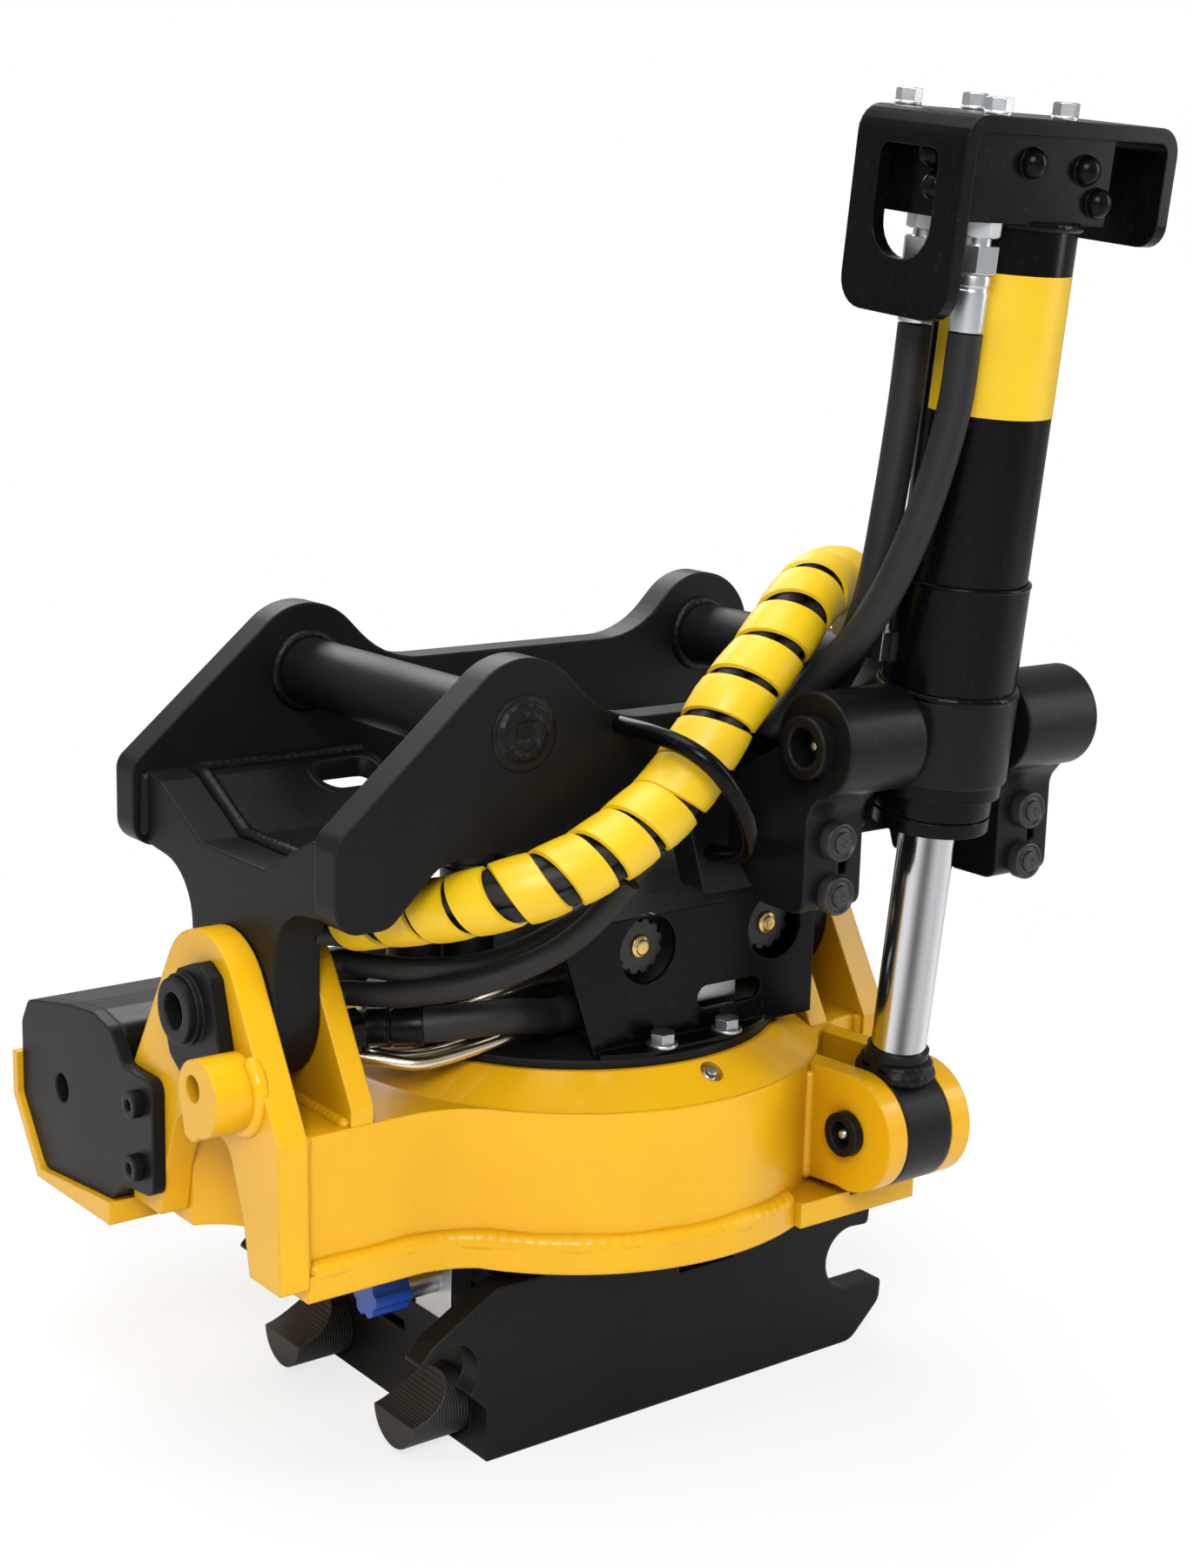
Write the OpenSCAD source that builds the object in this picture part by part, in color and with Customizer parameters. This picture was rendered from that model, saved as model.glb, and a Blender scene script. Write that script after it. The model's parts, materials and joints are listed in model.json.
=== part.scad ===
// Excavator tilt rotator with one tilt cylinder: a yellow rotor housing, a black
// upper pin hitch that tilts about X, a black lower quick hitch that turns about Z.
// Millimetres, Z up, rotor axis on Z, bottom face of the lower hitch at Z 0.
// The minus Y side carries the tilt cylinder, the plus Y side the worm gearbox.

/* [Hitch pins] */
// Diameter of the coupling pins
pin_d = 40; // [30:1:60]
// Distance between the two coupling pins
pin_spread = 300; // [240:5:420]
// Clear width between the upper ears and width over the lower hitch
hitch_w = 200; // [160:5:280]

/* [Upper hitch] */
// Ear plate thickness
ear_t = 20; // [12:1:30]
// Height of the upper coupling pins
upper_pin_z = 420; // [400:1:460]
// Front upper pin, along X from the rotor axis
upper_front_x = -122; // [-140:1:-100]
// Radius of the ear round each upper pin
hump_r = 40; // [32:1:50]
// Front edge of the ears
ear_front_x = -236; // [-250:1:-225]
// Lower edge of the front foot of the ears
ear_foot_z = 327; // [320:1:340]
// Lower edge of the ears between the feet
ear_beam_z = 358; // [350:1:370]
// Upper edge of the ears between the humps
ear_valley_z = 422; // [410:1:430]
// Rise angle of the front edge of the ears
ear_slope = 40.5; // [35:0.5:45]
// Thickness of the bent saddle plates
saddle_t = 10; // [6:1:14]
// Half width of the flat of the saddle and of the notch in the lug plates
notch_half = 35; // [20:1:50]
// Height of the flat of the notch
notch_z = 343; // [335:1:350]
// Height of the top of the notch slopes
notch_top_z = 368; // [360:1:380]
// Half width of the top of the notch
notch_top_half = 82; // [70:1:95]

/* [Tilt bearing] */
// Height of the tilt axis
tilt_z = 262; // [255:1:270]
// Diameter of the tilt pins
tilt_pin_d = 36; // [30:1:44]
// Outer radius of the tilt lugs
lug_r = 45; // [38:1:50]
// Thickness of the tilt lug plates
lug_t = 28; // [20:1:34]
// Front face of the front tilt lug
front_lug_x = -228; // [-232:1:-220]
// Front face of the rear tilt lug
rear_lug_x = 140; // [136:1:150]
// Thickness of the outer clevis plates
clevis_t = 18; // [12:1:24]
// Thickness of the inner clevis plates
clevis_in_t = 14; // [10:1:18]
// Radius of the clevis plates round the tilt axis
clevis_r = 42; // [38:1:50]
// Wall of the tilt bushes
bush_t = 5; // [3:1:7]

/* [Housing] */
// Underside of the housing flange
flange_z = 115; // [112:1:125]
// Thickness of the housing flange
flange_t = 15; // [10:1:20]
// How far the flange stands out of the wall
flange_ledge = 6; // [3:1:10]
// Outer radius of the housing wall round the rotor
wall_r = 152; // [145:1:165]
// Upper edge of the housing wall
wall_top_z = 206; // [200:1:212]
// Upper face of the housing cone
cone_top_z = 222; // [216:1:226]
// Half width of the housing tongues that carry the clevis plates
tongue_half = 76; // [70:1:84]
// Fillet radius between tongue and wall
tongue_fillet = 60; // [30:1:80]
// Radius of the black top disc
disc_r = 124; // [110:1:130]
// Thickness of the black top disc
disc_t = 5; // [3:1:8]

/* [Rotor drive] */
// Tip radius of the worm wheel
wheel_r = 130; // [120:1:132]
// Height of the worm wheel rim
wheel_h = 36; // [24:1:40]
// Height of the worm axis
worm_z = 169; // [165:1:175]
// Outer radius of the worm
worm_r = 30; // [24:1:32]
// Radius of the worm shaft journals
worm_shaft_r = 14; // [10:1:18]
// Radius of the rotor neck in the housing floor
neck_r = 108; // [90:1:112]

/* [Tilt cylinder] */
// Plane of the cylinder along X
cyl_x = 115; // [105:1:130]
// Rod eye pin, along Y
rod_pin_y = -162; // [-170:1:-150]
// Rod eye pin height
rod_pin_z = 172; // [165:1:180]
// Trunnion axis, along Y
trunnion_y = -187.5; // [-200:0.5:-175]
// Trunnion axis height
trunnion_z = 411; // [400:1:420]
// Rod diameter
rod_d = 32; // [28:1:40]
// Barrel outer diameter
barrel_d = 70; // [60:1:80]
// Barrel bore diameter
bore_d = 54; // [45:1:60]
// Diameter of the trunnion collar
collar_d = 78; // [72:1:84]
// Wall of the trunnion collar round the lower tube
collar_wall = 2; // [1:0.5:6]
// Half height of the trunnion collar
collar_half = 24; // [18:1:30]
// Diameter of the trunnion stub pins
trunnion_d = 34; // [24:1:40]
// Outer radius of the trunnion bosses on the arms
boss_r = 29; // [26:1:34]
// Half span over the trunnion bosses
boss_half = 95; // [85:1:105]
// Width of the rod eye
eye_w = 34; // [28:1:40]
// Outer radius of the rod eye and its lugs
eye_r = 35; // [32:1:38]
// Thickness of each rod eye lug
eye_lug_t = 14; // [10:1:18]
// Rod eye pin diameter in the lugs
rod_pin_d = 26; // [20:1:30]
// Rod eye pin diameter inside the eye
rod_pin_neck_d = 18; // [14:1:20]
// Barrel length from the trunnion axis to the head block
barrel_l = 278; // [250:1:300]
// Head block height
block_h = 44; // [36:1:50]
// Hose guard sheet thickness
guard_t = 8; // [5:1:10]

/* [Lower hitch] */
// Height of the lower coupling pins
lower_pin_z = 57; // [50:1:62]
// Thickness of the lower side plates
side_t = 16; // [12:1:20]
// Upper face of the lower hitch
lower_top_z = 103; // [98:1:108]
// Gap between a lock horn and the side plate
horn_gap = 2; // [1:0.5:6]
// Radius of the lock horns
horn_r = 20; // [16:1:22]
// Height of the lock horns
horn_z = 24; // [20:1:26]
// Travel of the lock horns
lock_travel = 40; // [30:1:45]

/* [Fits] */
// Radial clearance of running fits
run_clear = 0.05; // [0.02:0.01:0.1]
// Gap between parts that move past each other
side_gap = 1; // [0.5:0.1:2]
// Bearing gap under the worm wheel
bearing_gap = 0.4; // [0.3:0.1:0.8]
// Room in the rod eye for the open pivot of the cylinder linkage
eye_room = 18; // [16:0.5:19]

/* [Hidden] */
$fn = 64;
eps_cut = 2;
ear_y = hitch_w / 2;
upper_rear_x = upper_front_x + pin_spread;
front_out_x1 = front_lug_x - side_gap;
front_out_x0 = front_out_x1 - clevis_t;
front_in_x0 = front_lug_x + lug_t + side_gap;
front_in_x1 = front_in_x0 + clevis_in_t;
rear_in_x1 = rear_lug_x - side_gap;
rear_in_x0 = rear_in_x1 - clevis_in_t;
rear_out_x0 = rear_lug_x + lug_t + side_gap;
rear_out_x1 = rear_out_x0 + clevis_t;
flange_top = flange_z + flange_t;
flange_r = wall_r + flange_ledge;
cavity_r = wheel_r + 2;
wheel_z0 = worm_z - wheel_h / 2;
floor_top = flange_top + 2;
bearing_top = wheel_z0 - bearing_gap;
worm_y = wheel_r + worm_r + side_gap / 2;
tunnel_r = worm_r + side_gap;
cyl_lean = atan2(rod_pin_y - trunnion_y, trunnion_z - rod_pin_z);
cyl_len = norm([rod_pin_y - trunnion_y, trunnion_z - rod_pin_z]);
eye_x0 = cyl_x - eye_w / 2;
eye_x1 = cyl_x + eye_w / 2;
near_lug_x1 = eye_x0 - side_gap;
near_lug_x0 = near_lug_x1 - eye_lug_t;
far_lug_x0 = eye_x1 + side_gap;
far_lug_x1 = far_lug_x0 + eye_lug_t;
rod_pin_proud = 6;
eye_relief = 0.6 * eye_room;
disc_top = cone_top_z + disc_t;
half_spread = pin_spread / 2;
side_in = hitch_w / 2 - side_t;
horn_y = side_in - horn_r - horn_gap;
ear_drop = (hump_r * sin(45) + upper_pin_z) - ear_valley_z;
ear_rear_x = upper_rear_x + hump_r;
arm_face_y = -184;
arm_x_in = 41;
arm_low_z = 316;
arm_relief_y = -150;
arm_relief_z = 342;
tab_low_z = 316;
tab_front = 16;
cap_r = 11;
cap_h = 9;
cap_z = [356, 326];
cap_x = cyl_x - boss_half + arm_x_in / 2;
boss_l = boss_half - collar_d / 2 - side_gap;

function unit(v) = v / norm(v);
function arc_pts(c, r, a0, a1, n) = [for (i = [0 : n]) c + r * [cos(a0 + (a1 - a0) * i / n), sin(a0 + (a1 - a0) * i / n)]];
function turn(a) = a > 180 ? a - 360 : a < -180 ? a + 360 : a;
function corner(p0, p1, p2, r, n) =
  let (a = unit(p0 - p1), b = unit(p2 - p1), w = acos(a * b), c = p1 + unit(a + b) * r / sin(w / 2),
    s = p1 + a * r / tan(w / 2), e = p1 + b * r / tan(w / 2),
    a0 = atan2(s[1] - c[1], s[0] - c[0]), a1 = atan2(e[1] - c[1], e[0] - c[0]))
  arc_pts(c, r, a0, a0 + turn(a1 - a0), n);
function flat(p) = [p[0], p[1]];
function rounded(pts, n = 5) = [for (i = [0 : len(pts) - 1])
  let (p = pts[i], q = pts[(i + len(pts) - 1) % len(pts)], s = pts[(i + 1) % len(pts)])
  each (p[2] == 0 ? [flat(p)] : corner(flat(q), flat(p), flat(s), p[2], n))];

// One tube along a list of points: rings in planes square to the local direction
function dir_at(p, i) = unit(p[min(i + 1, len(p) - 1)] - p[max(i - 1, 0)]);
function side_of(d) = unit(cross(d, abs(d[2]) < 0.9 ? [0, 0, 1] : [0, 1, 0]));
function ring(c, d, r, n) = let (u = side_of(d), v = cross(d, u)) [for (k = [0 : n - 1]) c + r * (u * cos(360 * k / n) + v * sin(360 * k / n))];
module tube(p, r, n = 10, r0 = 0) {
  m = len(p);
  start = r0 == 0 ? r : r0;
  polyhedron([for (i = [0 : m - 1]) each ring(p[i], dir_at(p, i), start + (r - start) * min(1, 2.5 * i / (m - 1)), n)],
    concat([[for (k = [0 : n - 1]) k]], [[for (k = [0 : n - 1]) m * n - 1 - k]],
      [for (i = [0 : m - 2]) for (k = [0 : n - 1])
        each [[i * n + k, i * n + n + k, i * n + (k + 1) % n],
              [i * n + (k + 1) % n, i * n + n + k, i * n + n + (k + 1) % n]]]));
}
// Points of a smooth curve through the route points
function hermite(a, b, ta, tb, s) = a * (2 * s * s * s - 3 * s * s + 1) + ta * (s * s * s - 2 * s * s + s) + b * (3 * s * s - 2 * s * s * s) + tb * (s * s * s - s * s);
function tangent(p, i) = (p[min(i + 1, len(p) - 1)] - p[max(i - 1, 0)]) / (i == 0 || i == len(p) - 1 ? 1 : 2);
function smooth(p, k) = [for (i = [0 : len(p) - 2]) for (j = [0 : (i == len(p) - 2 ? k : k - 1)]) hermite(p[i], p[i + 1], tangent(p, i), tangent(p, i + 1), j / k)];

// Solids placed along the three axes
module xcyl(r, x0, x1, y, z) { translate([x0, y, z]) rotate([0, 90, 0]) cylinder(r = r, h = x1 - x0); }
module ycyl(r, y0, y1, x, z) { translate([x, y1, z]) rotate([90, 0, 0]) cylinder(r = r, h = y1 - y0); }
module zcyl(r, z0, z1, x, y) { translate([x, y, z0]) cylinder(r = r, h = z1 - z0); }
module box(x0, x1, y0, y1, z0, z1) { translate([x0, y0, z0]) cube([x1 - x0, y1 - y0, z1 - z0]); }
module xplate(x0, x1) { translate([x0, 0, 0]) rotate([90, 0, 90]) linear_extrude(x1 - x0) children(); }
module yplate(y0, y1) { translate([0, y1, 0]) rotate([90, 0, 0]) linear_extrude(y1 - y0) children(); }
module zplate(z0, z1) { translate([0, 0, z0]) linear_extrude(z1 - z0) children(); }
module in_cylinder() { translate([cyl_x, trunnion_y, trunnion_z]) rotate([cyl_lean, 0, 0]) children(); }

// Plan of the housing: round wall with a front and a rear tongue, filleted
fillet_x = sqrt((wall_r + tongue_fillet) * (wall_r + tongue_fillet) - (tongue_half + tongue_fillet) * (tongue_half + tongue_fillet));
fillet_a = atan2(tongue_half + tongue_fillet, fillet_x);
module tongue(x_end, half) {
  up = arc_pts([fillet_x, half + tongue_fillet], tongue_fillet, -90, -180 + fillet_a, 8);
  polygon(concat([[x_end, half]], up, [[0, half], [0, -half]], [for (i = [len(up) - 1 : -1 : 0]) [up[i][0], -up[i][1]]], [[x_end, -half]]));
}
module plan(grow, x_front, x_rear) {
  circle(r = wall_r + grow, $fn = 128);
  mirror([1, 0]) tongue(-x_front, tongue_half + grow);
  tongue(x_rear, tongue_half + grow);
}
pad_x1 = far_lug_x1 + 2;
pad_y = rod_pin_y + 10;
module worm_tunnel(r) { xcyl(r, gear_x0 - eps_cut, gear_x1 + eps_cut, worm_y, worm_z); }
end_t = 8;
gear_x0 = front_out_x0 - end_t;
gear_x1 = 92;

arch_half = 49;
arch_top_half = 28;
arch_top_z = wall_top_z - 12;
recess_top_z = wall_top_z - 18;
leg_z = flange_z + 9;
dimple = [2, -134.5, 217];
dimple_r = 7;
cone_tilt = 37;
module housing_shell() color("#f2b10a") difference() {
  union() {
    zplate(flange_z, flange_top) { plan(flange_ledge, front_out_x1, rear_out_x0); translate([near_lug_x0 - 24, pad_y]) square([pad_x1 - near_lug_x0 + 24, -pad_y]); }
    zplate(flange_top, wall_top_z) plan(0, front_out_x1, rear_out_x0);
    translate([0, 0, wall_top_z]) cylinder(r1 = wall_r - 2, r2 = disc_r + 3, h = cone_top_z - wall_top_z, $fn = 128);
  }
  zcyl(cavity_r, floor_top, wall_top_z - 10, 0, 0);
  zcyl(neck_r + side_gap, flange_z - eps_cut, floor_top + eps_cut, 0, 0);
  zcyl(crown_r, wall_top_z - 10 - eps_cut, cone_top_z + eps_cut, 0, 0);
  worm_tunnel(tunnel_r);
  zcyl(arch_half, flange_z - eps_cut, recess_top_z, front_out_x0 + 2, 0);
  translate(dimple) rotate([cone_tilt, 0, 0]) cylinder(r = dimple_r, h = 12, center = true);
  xcyl(eye_r + eye_relief, near_lug_x1, far_lug_x0, rod_pin_y, rod_pin_z);
}

// Clevis plate outline: round top about the tilt axis, straight flanks to the base
clevis_base = 82;
function flank_a() = let (d = norm([clevis_base, tilt_z - wall_top_z])) atan2(wall_top_z - tilt_z, clevis_base) + acos(clevis_r / d);
module clevis_2d(z_low, half_low) {
  a = flank_a();
  top = arc_pts([0, tilt_z], clevis_r, a, 180 - a, 16);
  difference() {
    polygon(concat(top, [[-clevis_base, wall_top_z], [-half_low, z_low], [half_low, z_low], [clevis_base, wall_top_z]]));
    translate([0, tilt_z]) circle(r = tilt_pin_d / 2);
  }
}
module front_clevis_outer() color("#f2b10a") xplate(front_out_x0, front_out_x1) difference() {
  clevis_2d(leg_z, clevis_base + 2);
  polygon(rounded([[-arch_half - 3, leg_z - eps_cut, 0], [-arch_half + 4, leg_z + 30, 24], [-arch_top_half, arch_top_z, 16],
    [arch_top_half, arch_top_z, 16], [arch_half - 4, leg_z + 30, 24], [arch_half + 3, leg_z - eps_cut, 0]]));
}
module front_clevis_inner() color("#f2b10a") xplate(front_in_x0, front_in_x1) intersection() {
  clevis_2d(wall_top_z, clevis_base);
  translate([-tongue_half, wall_top_z]) square([2 * tongue_half, 200]);
}
module rear_clevis_inner() color("#f2b10a") difference() {
  xplate(rear_in_x0, rear_in_x1) clevis_2d(wall_top_z, clevis_base);
  translate([0, 0, wall_top_z]) cylinder(r1 = wall_r - 2, r2 = disc_r + 3, h = cone_top_z - wall_top_z, $fn = 128);
}
module rear_clevis_outer() color("#f2b10a") xplate(rear_out_x0, rear_out_x1) clevis_2d(flange_z, tongue_half + flange_ledge);

lift_y = -43;
lift_z = 227;
lift_r = 21;
lift_l = 26;
lift_hole_r = 7.5;
module lift_2d() { translate([lift_y, lift_z]) circle(r = lift_r); translate([lift_y, lift_z]) polygon([[-lift_r, 0], [-lift_r + 2, -8], [6, -lift_r - 5], [14, -lift_r - 3], [lift_r, 0]]); }
module lifting_lug() color("#f2b10a") xplate(front_out_x0 - lift_l, front_out_x0) difference() {
  lift_2d();
  translate([lift_y + 5, lift_z + 4]) circle(r = lift_hole_r);
}

module lug_2d() difference() {
  union() {
    translate([rod_pin_y, rod_pin_z]) circle(r = eye_r);
    polygon([[rod_pin_y, rod_pin_z + eye_r], [-60, wall_top_z - 4], [-60, flange_top], [rod_pin_y + 6, rod_pin_z - eye_r + 0.6]]);
  }
  translate([rod_pin_y, rod_pin_z]) circle(r = rod_pin_d / 2);
}
module cylinder_lugs() color("#f2b10a") difference() {
  union() {
    xplate(near_lug_x0, near_lug_x1) lug_2d();
    xplate(far_lug_x0, far_lug_x1) lug_2d();
  }
  zplate(flange_top - eps_cut, wall_top_z + 20) plan(0, front_out_x1, rear_out_x0);
}

retainer_t = 9;
boss_ring = 8;
pin_hole_r = 10.5;
collar_ring_h = 4;
collar_ring_t = 2;
module tilt_pins() color("#1a1a1c") {
  difference() {
    xcyl(tilt_pin_d / 2, front_out_x0 - retainer_t - boss_ring, front_in_x1 + 2, 0, tilt_z);
    xcyl(pin_hole_r, front_out_x0 - retainer_t - boss_ring - eps_cut, front_out_x0 + 12, 0, tilt_z);
  }
  difference() {
    xcyl(tilt_pin_d / 2, rear_in_x0 - 2, rear_out_x1 + retainer_t + boss_ring, 0, tilt_z);
    xcyl(pin_hole_r, rear_out_x1 - 12, rear_out_x1 + retainer_t + boss_ring + eps_cut, 0, tilt_z);
  }
}
module retainer_2d() difference() {
  polygon(rounded([[10, 282, 6], [-12, 291, 8], [-25, 284, 6], [-38, 241, 6], [-56, 232, 3], [-51, 221, 3], [-6, 215, 6], [20, 231, 8], [27, 252, 10]]));
  translate([0, tilt_z]) circle(r = tilt_pin_d / 2);
}
module boss_ring_2d() difference() { translate([0, tilt_z]) circle(r = tilt_pin_d / 2 + collar_ring_t); translate([0, tilt_z]) circle(r = tilt_pin_d / 2); }
module pin_retainers() color("#1a1a1c") {
  xplate(front_out_x0 - retainer_t, front_out_x0) difference() { retainer_2d(); lift_2d(); }
  xplate(front_out_x0 - retainer_t - collar_ring_h, front_out_x0 - retainer_t) boss_ring_2d();
  xplate(rear_out_x1, rear_out_x1 + retainer_t) retainer_2d();
  xplate(rear_out_x1 + retainer_t, rear_out_x1 + retainer_t + collar_ring_h) boss_ring_2d();
}
module rod_eye_pin() color("#1a1a1c") difference() {
  union() {
    xcyl(rod_pin_d / 2, near_lug_x0 - rod_pin_proud, near_lug_x1, rod_pin_y, rod_pin_z);
    xcyl(rod_pin_neck_d / 2, near_lug_x1, far_lug_x0, rod_pin_y, rod_pin_z);
    xcyl(rod_pin_d / 2, far_lug_x0, far_lug_x1 + rod_pin_proud, rod_pin_y, rod_pin_z);
  }
  xcyl(rod_pin_d / 2 - 5, near_lug_x0 - rod_pin_proud - eps_cut, near_lug_x0 + 4, rod_pin_y, rod_pin_z);
}

module top_disc() color("#1a1a1c") zcyl(disc_r, cone_top_z, disc_top, 0, 0);

cover_y = -104;
cover_t = 3;
cover_x0 = -58;
cover_x1 = 103;
cover_top = 304;
cover_back = 40;
window_r = 20;
window_x = [-22, 72];
window_z = 284;
module valve_block() color("#2b2b2e") box(-40, 88, cover_y + 26, 30, disc_top, cover_top - 14);
module cover_face() polygon(rounded([[cover_x0, disc_top, 0], [cover_x1, disc_top, 0], [cover_x1, cover_top, 6], [cover_x0 - 6, cover_top, 8], [cover_x0 - 22, 290, 3]]));
module valve_cover() color("#1a1a1c") difference() {
  union() {
    yplate(cover_y, cover_y + cover_t) cover_face();
    box(cover_x0 - 2, cover_x1 - 2, cover_y, cover_back, cover_top - cover_t, cover_top);
    box(cover_x1 - cover_t, cover_x1, cover_y, cover_back, disc_top, cover_top - 6);
    intersection() { box(cover_x0, cover_x1 - 30, cover_y - 16, cover_y, disc_top, disc_top + cover_t); zcyl(disc_r, disc_top - 1, disc_top + cover_t + 1, 0, 0); }
  }
  for (x = window_x) ycyl(window_r, cover_y - eps_cut, cover_y + cover_t + eps_cut, x, window_z);
  box(22, 56, cover_y - eps_cut, cover_y + cover_t + eps_cut, 242, 256);
  ycyl(7, cover_y - eps_cut, cover_y + cover_t + eps_cut, 22, 249);
  ycyl(7, cover_y - eps_cut, cover_y + cover_t + eps_cut, 56, 249);
}
bolt_spots = [[-18, -114], [30, -113]];
module cover_bolts() color("#b9bcc0") for (p = bolt_spots) {
  zcyl(9, disc_top + cover_t, disc_top + cover_t + 2, p[0], p[1]);
  translate([p[0], p[1], disc_top + cover_t + 2]) cylinder(r = 7.5, h = 6, $fn = 6);
}
module coil_nuts() color("#141416") for (x = window_x) difference() {
  ycyl(16, cover_y + 8, cover_y + 26, x, window_z);
  for (a = [0 : 30 : 330]) ycyl(2, cover_y + 4, cover_y + 20, x + 16 * cos(a), window_z + 16 * sin(a));
}
module coil_screws() color("#c8a24a") for (x = window_x) ycyl(6, cover_y + 4, cover_y + 8, x, window_z);
module valve_connector() color("#d5d8da") box(22, 52, cover_y + 10, cover_y + 26, 243, 254);

// Gearbox outline in Y and Z, the shape of its end plate
gear_out = [[206, 212, 10], [150, 224, 12], [118, 228, 14], [96, 224, 12], [80, 206, 8], [44, 206, 8],
  [44, 138, 8], [80, 134, 8], [96, 120, 10], [186, 110, 14], [216, 150, 14], [216, 196, 10]];
ear_bolt_y = 62;
ear_bolt_z = [189, 151];
module gear_outline() polygon(rounded(gear_out, 4));
module gearbox_body() color("#1a1a1c") difference() {
  intersection() {
    xplate(gear_x0 + end_t, gear_x1) gear_outline();
    box(gear_x0, gear_x1, 92, 240, 100, 240);
  }
  zplate(flange_z - 40, wall_top_z + 40) plan(flange_ledge, front_out_x1, rear_out_x0);
  worm_tunnel(tunnel_r);
  xcyl(worm_shaft_r + run_clear, gear_x0, gear_x1 + eps_cut, worm_y, worm_z);
}
module gearbox_end_plate() color("#1a1a1c") difference() {
  xplate(gear_x0, gear_x0 + end_t) gear_outline();
  xcyl(9, gear_x0 - eps_cut, gear_x0 + end_t + eps_cut, worm_y, worm_z);
}
module gearbox_bolts() color("#1a1a1c") for (z = ear_bolt_z) difference() {
  xcyl(8, gear_x0 - 6, gear_x0, ear_bolt_y, z);
  translate([gear_x0 - 8, ear_bolt_y, z]) rotate([0, 90, 0]) cylinder(r = 4, h = 6, $fn = 6);
}
skid_t = 6;
module skid_guard() color("#f2b10a") difference() {
  xplate(gear_x0 - 4, gear_x1 - 10) polygon([[216, 176], [216 + skid_t, 176], [216 + skid_t, 148], [190, 110 - skid_t], [92, 112 - skid_t], [92, 120], [96, 120], [186, 110], [216, 150]]);
  xplate(gear_x0 - 6, gear_x1) gear_outline();
  zplate(flange_z - 40, flange_z + 40) plan(flange_ledge, front_out_x1, rear_out_x0);
}

module slew_bush() color("#a9812f") difference() { zcyl(cavity_r, floor_top, bearing_top, 0, 0); zcyl(neck_r + side_gap, floor_top - eps_cut, bearing_top + eps_cut, 0, 0); worm_tunnel(tunnel_r); }
module worm() color("#8d9094") {
  xcyl(worm_r, -70, 70, worm_y, worm_z);
  xcyl(worm_shaft_r, gear_x0 + end_t + side_gap, -70, worm_y, worm_z);
  xcyl(worm_shaft_r, 70, gear_x1 - 4, worm_y, worm_z);
}

// Ear outline in X and Z
module ear_2d() difference() {
  union() {
    polygon(rounded([[ear_front_x, ear_foot_z, 14], [ear_front_x + 32, ear_foot_z, 14], [ear_front_x + 64, ear_beam_z, 24],
      [ear_rear_x, ear_beam_z, 24], [ear_rear_x, upper_pin_z, 0], [upper_rear_x, upper_pin_z, 0],
      [upper_rear_x - hump_r * cos(45), upper_pin_z + hump_r * sin(45), 0],
      [upper_rear_x - hump_r * cos(45) - ear_drop, ear_valley_z, 60],
      [upper_front_x + hump_r * cos(45) + ear_drop, ear_valley_z, 60],
      [upper_front_x + hump_r * cos(45), upper_pin_z + hump_r * sin(45), 0],
      [upper_front_x, upper_pin_z, 0],
      [upper_front_x - hump_r * sin(ear_slope), upper_pin_z + hump_r * cos(ear_slope), 0],
      [ear_front_x, upper_pin_z + hump_r * cos(ear_slope) - (upper_front_x - hump_r * sin(ear_slope) - ear_front_x) * tan(ear_slope), 12]], 7));
    translate([upper_front_x, upper_pin_z]) circle(r = hump_r);
    translate([upper_rear_x, upper_pin_z]) circle(r = hump_r);
  }
  translate([upper_front_x, upper_pin_z]) circle(r = pin_d / 2);
  translate([upper_rear_x, upper_pin_z]) circle(r = pin_d / 2);
}
module arm_tab_2d(x0, x1) polygon(rounded([[x0, tab_low_z, 6], [x1, tab_low_z, 6], [x1 + 8, ear_beam_z + 4, 0], [x0 - 14, ear_beam_z + 4, 0]], 4));
module ear_near() color("#1a1a1c") yplate(-ear_y - ear_t, -ear_y) union() {
  ear_2d();
  arm_tab_2d(cyl_x - boss_half - tab_front, cyl_x - boss_half + arm_x_in);
  arm_tab_2d(cyl_x + boss_half - arm_x_in, cyl_x + boss_half);
}
module ear_far() color("#1a1a1c") yplate(ear_y, ear_y + ear_t) ear_2d();

// Tilt lug plate between the ears: notch on top, waisted down to a round lug
module lug_plate_2d() {
  difference() {
    union() {
      polygon(rounded([[ear_y, notch_top_z + 3, 0], [notch_top_half, notch_top_z, 0], [notch_half, notch_z, 0], [-notch_half, notch_z, 0],
        [-notch_top_half, notch_top_z, 0], [-ear_y, notch_top_z + 3, 0], [-ear_y, ear_foot_z + 3, 0], [-lug_r, ear_foot_z - 3, 34],
        [-lug_r, tilt_z, 0], [lug_r, tilt_z, 0], [lug_r, ear_foot_z - 3, 34], [ear_y, ear_foot_z + 3, 0]], 8));
      translate([0, tilt_z]) circle(r = lug_r);
    }
    translate([0, tilt_z]) circle(r = tilt_pin_d / 2 + bush_t);
  }
}
module front_lug_plate() color("#1a1a1c") xplate(front_lug_x, front_lug_x + lug_t) lug_plate_2d();
module rear_lug_plate() color("#1a1a1c") xplate(rear_lug_x, rear_lug_x + lug_t) lug_plate_2d();
saddle_front_end = -84;
saddle_hole_r = 15;
saddle_hole_x = [-102, -120];
saddle_hole_y = [-72, 72];
saddle_rear_start = 112;
module saddle_2d() polygon([[-ear_y, notch_top_z], [-notch_top_half, notch_top_z], [-notch_half, notch_z], [notch_half, notch_z], [notch_top_half, notch_top_z], [ear_y, notch_top_z],
  [ear_y, notch_top_z - saddle_t], [notch_top_half + 3, notch_top_z - saddle_t], [notch_half + 3, notch_z - saddle_t], [-notch_half - 3, notch_z - saddle_t], [-notch_top_half - 3, notch_top_z - saddle_t], [-ear_y, notch_top_z - saddle_t]]);
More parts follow.
